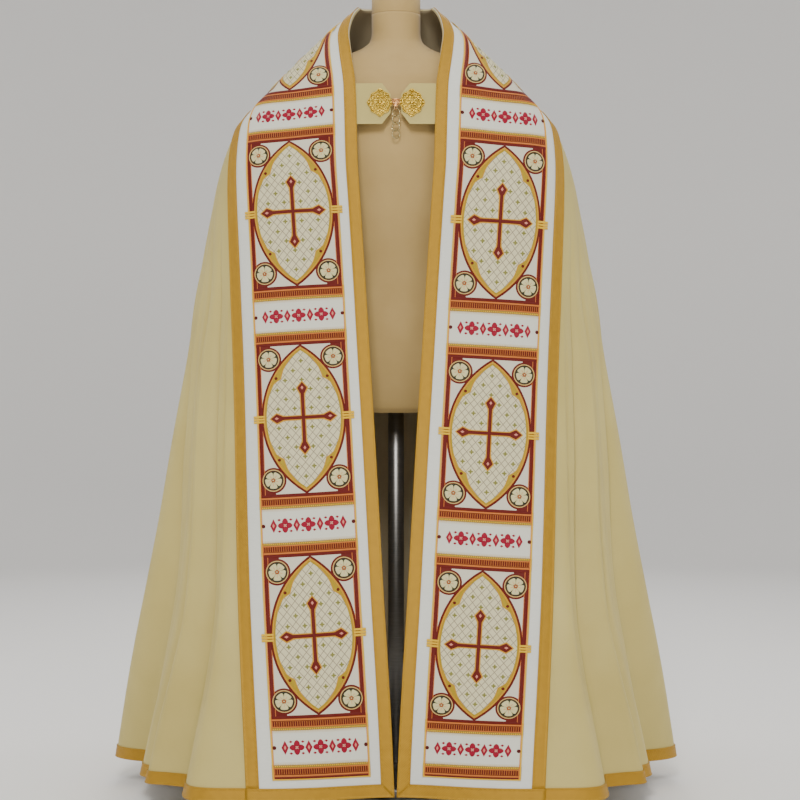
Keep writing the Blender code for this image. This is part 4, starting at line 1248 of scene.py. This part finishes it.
for side_name, side in SIDES:
    rises = np.array([-1.0, -0.985, -0.95, -0.88, -0.72, -0.45, -0.2, 0.0, 0.2, 0.45, 0.72, 0.88, 0.95, 0.985, 1.0])
    inner = np.interp(np.abs(rises), [0.0, 0.45, 1.0], [TAB_END_X, TAB_END_X, TAB_CORNER_X])
    run = np.array([0.0, 0.012, 0.03, 0.07, 0.15, 0.25, 0.4, 0.55, 0.7, 0.85, 1.0])
    x = inner[:, None] + (TAB_OUTER_X - inner[:, None]) * run[None, :]
    z = CHEST_Z + TAB_HALF * rises[:, None] + 0 * x
    edge = np.minimum(TAB_HALF * (1 - np.abs(rises))[:, None], (x - inner[:, None]))
    swell = 0.0006 * soft(edge / 0.0035) - 0.00025 * np.exp(-((edge - 0.0052) / 0.0008) ** 2)
    front = chest_y(x, z) + 0.0006 - swell
    back = chest_y(x, z) + TAB_CLOTH - 0.0006 + 0.0006 * soft(edge / 0.0035)
    index = np.arange(x.size).reshape(x.shape)
    quads = np.stack([index[:-1, :-1], index[:-1, 1:], index[1:, 1:], index[1:, :-1]], -1).reshape(-1, 4)
    rim = np.concatenate([index[0, :], index[1:, -1], index[-1, -2::-1], index[-2:0:-1, 0]])
    rims = np.stack([np.roll(rim, -1), rim, rim + x.size, np.roll(rim, -1) + x.size], -1)
    faces = np.concatenate([quads, quads[:, ::-1] + x.size, rims])
    if side < 0:
        faces = faces[:, ::-1]
    points = np.stack([np.concatenate([side * x.ravel()] * 2), np.concatenate([front.ravel(), back.ravel()]),
                       np.concatenate([z.ravel()] * 2)], -1)
    tab = add_piece("tab_cloth_" + side_name, points, faces, [cream], uv=points[:, [0, 2]])
    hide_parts("tab_" + side_name)

# ---- Clasp
# Two cast gold filigree halves sewn to the tabs: a solid plate for the pierced openwork, in darker gold as painted
# shade for its shadowed holes, edged with wire, scrolls round a beaded flower, and a bead at each point. A hook of
# rosier gold joins them.
CLASP_Z = 1.3430
CLASP_X = 0.0310
CLASP_HALF_WIDTH = 0.0252
CLASP_HALF_HEIGHT = 0.0285
CLASP_THICK = 0.0024
HOOK_HALF_WIDTH = 0.0086
HOOK_HEIGHT = 0.016
CLASP_BACK_Y = chest_y(0.0095, CLASP_Z) - 0.0003


def metal(name, dark, light, roughness):
    made = Finish(name, metallic=1.0, roughness=roughness)
    worn = made.noise(made.place(scale=(1.0, 1.0, 1.0)), 420.0, 3.0)
    made.put("Base Color", made.mix(worn.smooth(0.3, 0.7), dark, light))
    made.put("Roughness", worn * 0.22 + (roughness - 0.1))
    return made


clasp_gold = metal("clasp_gold", (0.600, 0.400, 0.040), (0.950, 0.710, 0.150), 0.27)
# Painted shade: a darker gold for the solid back plate, standing for the shadow seen through the openwork's holes.
plate_gold_painted_shade = metal("clasp_plate_painted_shade", (0.220, 0.130, 0.012), (0.420, 0.270, 0.035), 0.42)
rose_gold = metal("hook_rose_gold", (0.480, 0.210, 0.070), (0.850, 0.500, 0.220), 0.28)
pale_gold = metal("ring_pale_gold", (0.420, 0.330, 0.140), (0.760, 0.640, 0.360), 0.26)


class Cast:
    """Wires, beads and plates joined into one piece, in (x, z, height off the plate)."""

    def __init__(self):
        self.points = []
        self.faces = []
        self.kinds = []

    def add(self, points, faces, kind):
        points = np.asarray(points, float)
        x, z, out = points.T
        placed = np.stack([x, CLASP_BACK_Y - out + TAB_LEAN * (z - CLASP_Z), z], -1)
        start = len(self.points)
        self.points += placed.tolist()
        self.faces += [[k + start for k in face] for face in faces]
        self.kinds += [kind] * len(faces)

    def wire(self, path, radius, out, kind=0, closed=False, sides=8):
        path = np.asarray(path, float)
        ahead = np.gradient(path, axis=0)
        if closed:
            ahead[0] = path[1] - path[-1]
            ahead[-1] = path[0] - path[-2]
        ahead /= np.linalg.norm(ahead, axis=1)[:, None] + 1e-12
        beside = np.stack([-ahead[:, 1], ahead[:, 0]], -1)
        turn = np.arange(sides) * 2 * pi / sides
        radius = np.broadcast_to(radius, len(path))[:, None]
        flat = path[:, None] + beside[:, None] * (radius * np.cos(turn))[..., None]
        points = np.concatenate([flat, (out + radius * np.sin(turn))[..., None]], -1).reshape(-1, 3)
        index = np.arange(len(path) * sides).reshape(-1, sides)
        if closed:
            index = np.concatenate([index, index[:1]])
        after = np.roll(index, -1, axis=1)
        faces = np.stack([index[:-1], after[:-1], after[1:], index[1:]], -1).reshape(-1, 4).tolist()
        if not closed:
            faces += [index[0, ::-1].tolist(), index[-1].tolist()]
        self.add(points, faces, kind)

    def bead(self, x, z, radius, out, kind=0, sides=12, rows=7):
        up = np.linspace(-pi / 2, pi / 2, rows + 2)[1:-1, None]
        turn = np.arange(sides)[None, :] * 2 * pi / sides
        ball = np.stack([x + radius * np.cos(up) * np.cos(turn), z + radius * np.cos(up) * np.sin(turn),
                         out + radius * np.sin(up) + 0 * turn], -1).reshape(-1, 3)
        points = np.concatenate([ball, [(x, z, out - radius), (x, z, out + radius)]])
        index = np.arange(rows * sides).reshape(rows, sides)
        after = np.roll(index, -1, axis=1)
        faces = np.stack([index[:-1], after[:-1], after[1:], index[1:]], -1).reshape(-1, 4).tolist()
        faces += [[int(b), int(a), rows * sides] for a, b in zip(index[0], after[0])]
        faces += [[int(a), int(b), rows * sides + 1] for a, b in zip(index[-1], after[-1])]
        self.add(points, faces, kind)

    def plate(self, outline, low, high, kind):
        outline = np.asarray(outline, float)
        count = len(outline)
        centre = outline.mean(0)
        rows = []
        for share, out in ((1.0, low), (1.0, high - 0.0002), (0.96, high), (0.5, high)):
            rows.append(np.concatenate([centre + (outline - centre) * share, np.full((count, 1), out)], 1))
        points = np.concatenate(rows + [[(*centre, high)], [(*centre, low)]])
        index = np.arange(4 * count).reshape(4, count)
        after = np.roll(index, -1, axis=1)
        faces = np.stack([index[:-1], after[:-1], after[1:], index[1:]], -1).reshape(-1, 4).tolist()
        faces += [[int(a), int(b), 4 * count] for a, b in zip(index[3], after[3])]
        faces += [[int(b), int(a), 4 * count + 1] for a, b in zip(index[0], after[0])]
        self.add(points, faces, kind)

    def finish(self, name, finishes, node):
        found = add_piece(name, self.points, self.faces, finishes, self.kinds)
        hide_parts(node)
        return found


def lobed(scale, count=96):
    """The eight-lobed outline of a half about its own centre."""
    turn = np.linspace(0, 2 * pi, count + 1)[:-1]
    lobe = 0.90 + 0.045 * np.cos(4 * turn) + 0.055 * np.cos(8 * turn)
    return scale * np.stack([CLASP_HALF_WIDTH * lobe * np.cos(turn),
                             CLASP_HALF_HEIGHT * lobe * np.sin(turn)], -1)


def scroll(centre, radius, start, turns, count=36):
    share = np.linspace(0, 1, count)
    turn = start + turns * 2 * pi * share
    reach = radius * (1 - 0.78 * share)
    return np.stack([centre[0] + reach * np.cos(turn), centre[1] + reach * np.sin(turn)], -1)


for side_name, side in SIDES:
    half = Cast()
    at = np.array([side * CLASP_X, CLASP_Z])
    # The back plate, in the darker gold that paints the openwork's shadow.
    half.plate(at + lobed(0.93), 0.0, 0.0008, 1)
    half.wire(at + lobed(0.965), 0.0010, 0.0012, closed=True)
    for spot in lobed(0.985, 60):
        half.bead(*(at + spot), 0.0010, 0.0021, sides=8, rows=5)
    for n in range(8):
        turn = n * pi / 4
        point = n % 2 == 0
        away = np.array([cos(turn) * CLASP_HALF_WIDTH, sin(turn) * CLASP_HALF_HEIGHT])
        beside = np.array([-sin(turn), cos(turn)])
        half.bead(*(at + (0.86 if point else 0.76) * away), 0.0024 if point else 0.0018, 0.0027)
        half.bead(*(at + 0.54 * away), 0.0014, 0.0025, sides=10, rows=5)
        for hand in (-1, 1):
            curl = at + (0.68 if point else 0.62) * away + hand * 0.0034 * beside
            half.wire(scroll(curl, 0.0034, turn + hand * 0.5, hand * 1.35), 0.00075, 0.0020, sides=6)
        around = np.linspace(0, 2 * pi, 21)[:-1, None]
        heading = np.array([cos(turn + pi / 8), sin(turn + pi / 8)])
        aside = np.array([-heading[1], heading[0]])
        petal = at + heading * (0.0088 + 0.0034 * np.cos(around)) + aside * (0.0026 * np.sin(around))
        half.wire(petal, 0.0007, 0.0024, closed=True, sides=6)
        half.bead(*(at + 0.0090 * heading), 0.0012, 0.0022, sides=8, rows=5)
    for n in range(10):
        turn = n * pi / 5
        half.bead(*(at + 0.0044 * np.array([cos(turn), sin(turn)])), 0.0013, 0.0031, sides=8, rows=5)
    half.bead(*at, 0.0032, 0.0034)
    half.finish("clasp_filigree_" + side_name, [clasp_gold, plate_gold_painted_shade], "clasp_half_" + side_name)

EYE_RADIUS = 0.0035
EYE_WIRE = 0.0008
RING_RADIUS = 0.0082
RING_WIRE = 0.0011
RING_COUNT = 4
RING_YAW = radians(28)
RING_PITCH = 2 * RING_RADIUS - 2 * RING_WIRE - 0.0003
CHAIN_Y = CLASP_BACK_Y - 0.5 * CLASP_THICK - 0.5 * TAB_LEAN * HOOK_HEIGHT
EYE_Z = CLASP_Z - 0.5 * HOOK_HEIGHT - 0.85 * EYE_RADIUS
PIVOT_Z = EYE_Z - EYE_RADIUS + EYE_WIRE + RING_WIRE + 0.0003


def torus(centre, radius, wire, yaw, segments=56, sides=14):
    turn = (np.arange(segments) * 2 * pi / segments)[:, None]
    round_wire = (np.arange(sides) * 2 * pi / sides)[None, :]
    out = radius + wire * np.cos(round_wire)
    x, across, z = out * np.cos(turn), wire * np.sin(round_wire) + 0 * turn, out * np.sin(turn)
    points = np.stack([centre[0] + x * cos(yaw) - across * sin(yaw), centre[1] + x * sin(yaw) + across * cos(yaw),
                       centre[2] + z], -1).reshape(-1, 3)
    index = np.arange(segments * sides).reshape(segments, sides)
    after, below = np.roll(index, -1, axis=1), np.roll(index, -1, axis=0)
    faces = np.stack([index, after, np.roll(after, -1, axis=0), below], -1).reshape(-1, 4)
    return points, faces


hook = Cast()
w, h = HOOK_HALF_WIDTH, 0.5 * HOOK_HEIGHT
outline = [(-0.6 * w, -0.6 * h), (-0.0035, -h), (0.0035, -h), (0.6 * w, -0.6 * h), (w, 0.1 * h), (w, 0.8 * h),
           (0.0035, h), (-0.0035, h), (-w, 0.8 * h), (-w, 0.1 * h)]
hook.plate(np.array(outline) + (0.0, CLASP_Z), 0.0002, 0.0030, 0)
for level, reach in ((-0.66, 0.55), (-0.30, 0.75), (0.30, 1.0), (0.78, 1.0)):
    bar = [(-reach * w, CLASP_Z + level * h), (0.0, CLASP_Z + level * h * 1.05),
           (reach * w, CLASP_Z + level * h)]
    hook.wire(bar, 0.0011, 0.0034)
for across in (-0.5, 0.0, 0.5):
    hook.bead(across * w, CLASP_Z + 0.54 * h, 0.0010, 0.0036, sides=8, rows=5)
eye_points, eye_faces = torus((0.0, CHAIN_Y, EYE_Z), EYE_RADIUS, EYE_WIRE, RING_YAW, 40, 10)
start = len(hook.points)
hook.points += eye_points.tolist()
hook.faces += (eye_faces + start).tolist()
hook.kinds += [0] * len(eye_faces)
hook.finish("clasp_hook_cast", [rose_gold], "clasp_hook")

# ---- Hanging rings
# Four round wire rings of pale gold, linked below the hook; they swing as one short chain.
for n in range(RING_COUNT):
    centre = (0.0, CHAIN_Y, PIVOT_Z - RING_RADIUS - n * RING_PITCH)
    points, faces = torus(centre, RING_RADIUS, RING_WIRE, RING_YAW * (1 if n % 2 else -1))
    link = add_piece(f"chain_link_{n + 1}", points, faces, [pale_gold], body="chain")
    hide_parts(f"chain_ring_{n + 1}")

# ---- Dress form and stand
# A smooth limbless torso covered in tan jersey with a neck cap, on a steel pole and a round
# weighted foot. The cope rests on its shoulders.
FORM_COLUMNS = ("z", "half_width", "front", "back", "mid_y")
FORM = np.array([
    (0.740, 0.150, 0.105, 0.112, 0.000),
    (0.752, 0.162, 0.113, 0.122, 0.000),
    (0.820, 0.172, 0.118, 0.130, 0.000),
    (0.900, 0.162, 0.114, 0.118, 0.000),
    (1.000, 0.142, 0.104, 0.096, 0.000),
    (1.060, 0.144, 0.108, 0.094, 0.000),
    (1.150, 0.166, 0.118, 0.106, 0.000),
    (1.240, 0.190, 0.116, 0.112, -0.004),
    (1.310, 0.208, 0.104, 0.108, -0.010),
    (1.350, 0.216, 0.090, 0.098, -0.016),
    (1.380, 0.219, 0.076, 0.086, -0.020),
    (1.402, 0.216, 0.068, 0.078, -0.020),
    (1.420, 0.210, 0.062, 0.072, -0.016),
    (1.436, 0.186, 0.058, 0.066, -0.011),
    (1.450, 0.130, 0.056, 0.061, -0.006),
    (1.460, 0.092, 0.054, 0.057, -0.003),
    (1.470, 0.069, 0.052, 0.054, -0.001),
    (1.484, 0.053, 0.0495, 0.0505, 0.000),
    (1.500, 0.049, 0.049, 0.049, 0.000),
    (1.538, 0.049, 0.049, 0.049, 0.000),
])
SEAT_GAP = 0.0010
torso_shape = smooth_table(FORM, FORM_COLUMNS)
seats = [BVHTree.FromPolygons([v.co for v in cloth.data.vertices],
                              [tuple(f.vertices) for f in cloth.data.polygons])
         for cloth in (cope_cloth, facing)]

jersey = Finish("tan_jersey", roughness=0.78, sheen_weight=0.2)
JERSEY_LIGHT = (0.500, 0.345, 0.130)
JERSEY_DEEP = (0.400, 0.265, 0.085)
jersey_place = jersey.place()
knit = jersey.node("SeparateXYZ", {0: jersey_place}, out=2)
knit_bump = (knit * (2 * pi / 0.0018)).sine()
jersey_cloud = jersey.noise(jersey_place, 14.0, 4.0)
jersey.put("Base Color", jersey.mix(jersey_cloud, JERSEY_DEEP, JERSEY_LIGHT))
jersey.bump(knit_bump + jersey.noise(jersey_place, 900.0, 2.0), 0.16, 0.0003)


def revolved(name, profile, finish, sides=64, body="vestment"):
    """A turned piece from its radius and height pairs, closed at both ends."""
    profile = np.asarray(profile, float)
    turn = np.arange(sides) * 2 * pi / sides
    ring_x, ring_y = profile[:, :1] * np.cos(turn), profile[:, :1] * np.sin(turn)
    points = np.stack([ring_x, ring_y, profile[:, 1:] + 0 * ring_x], -1).reshape(-1, 3)
    points = np.concatenate([points, [(0, 0, profile[0, 1]), (0, 0, profile[-1, 1])]])
    return add_piece(name, points, sleeve_faces(len(profile), sides), [finish], body=body)


def sleeve_faces(rows, sides):
    index = np.arange(rows * sides).reshape(rows, sides)
    after = np.roll(index, -1, axis=1)
    faces = np.stack([index[:-1], after[:-1], after[1:], index[1:]], -1).reshape(-1, 4).tolist()
    faces += [[int(b), int(a), rows * sides] for a, b in zip(index[0], after[0])]
    faces += [[int(a), int(b), rows * sides + 1] for a, b in zip(index[-1], after[-1])]
    return faces


TORSO_SIDES = 96
levels = np.concatenate([[0.740, 0.7405, 0.742, 0.745, 0.748], np.linspace(0.752, 1.30, 44),
                         np.linspace(1.305, 1.538, 60)])
torso_points = []
for z in levels:
    row = {name: float(read(column, z)) for name, column in torso_shape.items()}
    for k in range(TORSO_SIDES):
        turn = 2 * pi * k / TORSO_SIDES
        x = row["half_width"] * sin(turn)
        y = -(row["front"] if cos(turn) > 0 else row["back"]) * cos(turn)
        away = float(np.hypot(x, y))
        outwards = Vector((x, y, 0.0)) / away
        if 1.26 < z < 1.50:
            for seat in seats:
                hit, normal, _, far = seat.ray_cast(Vector((0.0, row["mid_y"], z)), outwards, away + 0.02)
                if hit is not None:
                    away = min(away, far - SEAT_GAP / max(abs(normal.dot(outwards)), 0.3))
        torso_points.append((away * outwards.x, row["mid_y"] + away * outwards.y, z))
torso_points += [(0.0, 0.0, levels[0]), (0.0, 0.0, levels[-1])]
torso = add_piece("dress_form_torso", torso_points, sleeve_faces(len(levels), TORSO_SIDES), [jersey])
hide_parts("form_torso")

cap_profile = [(0.046, 1.5381), (0.0486, 1.5384), (0.0490, 1.5395), (0.0490, 1.588), (0.0484, 1.593),
               (0.0465, 1.5975), (0.0430, 1.6005), (0.0350, 1.6024), (0.0200, 1.6030), (0.0040, 1.6030)]
cap = revolved("dress_form_cap", cap_profile, jersey)
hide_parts("form_neck_cap")

steel = Finish("stand_steel", metallic=0.9)
brushed = steel.noise(steel.place(scale=(40.0, 40.0, 600.0)), 1.0, 3.0)
steel.put("Base Color", steel.mix(brushed, (0.150, 0.145, 0.140), (0.270, 0.265, 0.255)))
steel.put("Roughness", brushed * 0.2 + 0.28)
foot_profile = [(0.184, 0.0), (0.187, 0.0006), (0.1895, 0.003), (0.190, 0.005), (0.190, 0.015), (0.1885, 0.019),
                (0.184, 0.0225), (0.176, 0.0243), (0.120, 0.0272), (0.066, 0.0292), (0.050, 0.0305), (0.036, 0.034),
                (0.031, 0.0372), (0.029, 0.038)]
stand_foot = revolved("stand_foot", foot_profile, steel, 96)
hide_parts("stand_base")
pole = revolved("stand_tube", [(0.0155, 0.0383), (0.016, 0.0388), (0.016, 0.7392), (0.0155, 0.7397)], steel, 40)
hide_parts("stand_pole")
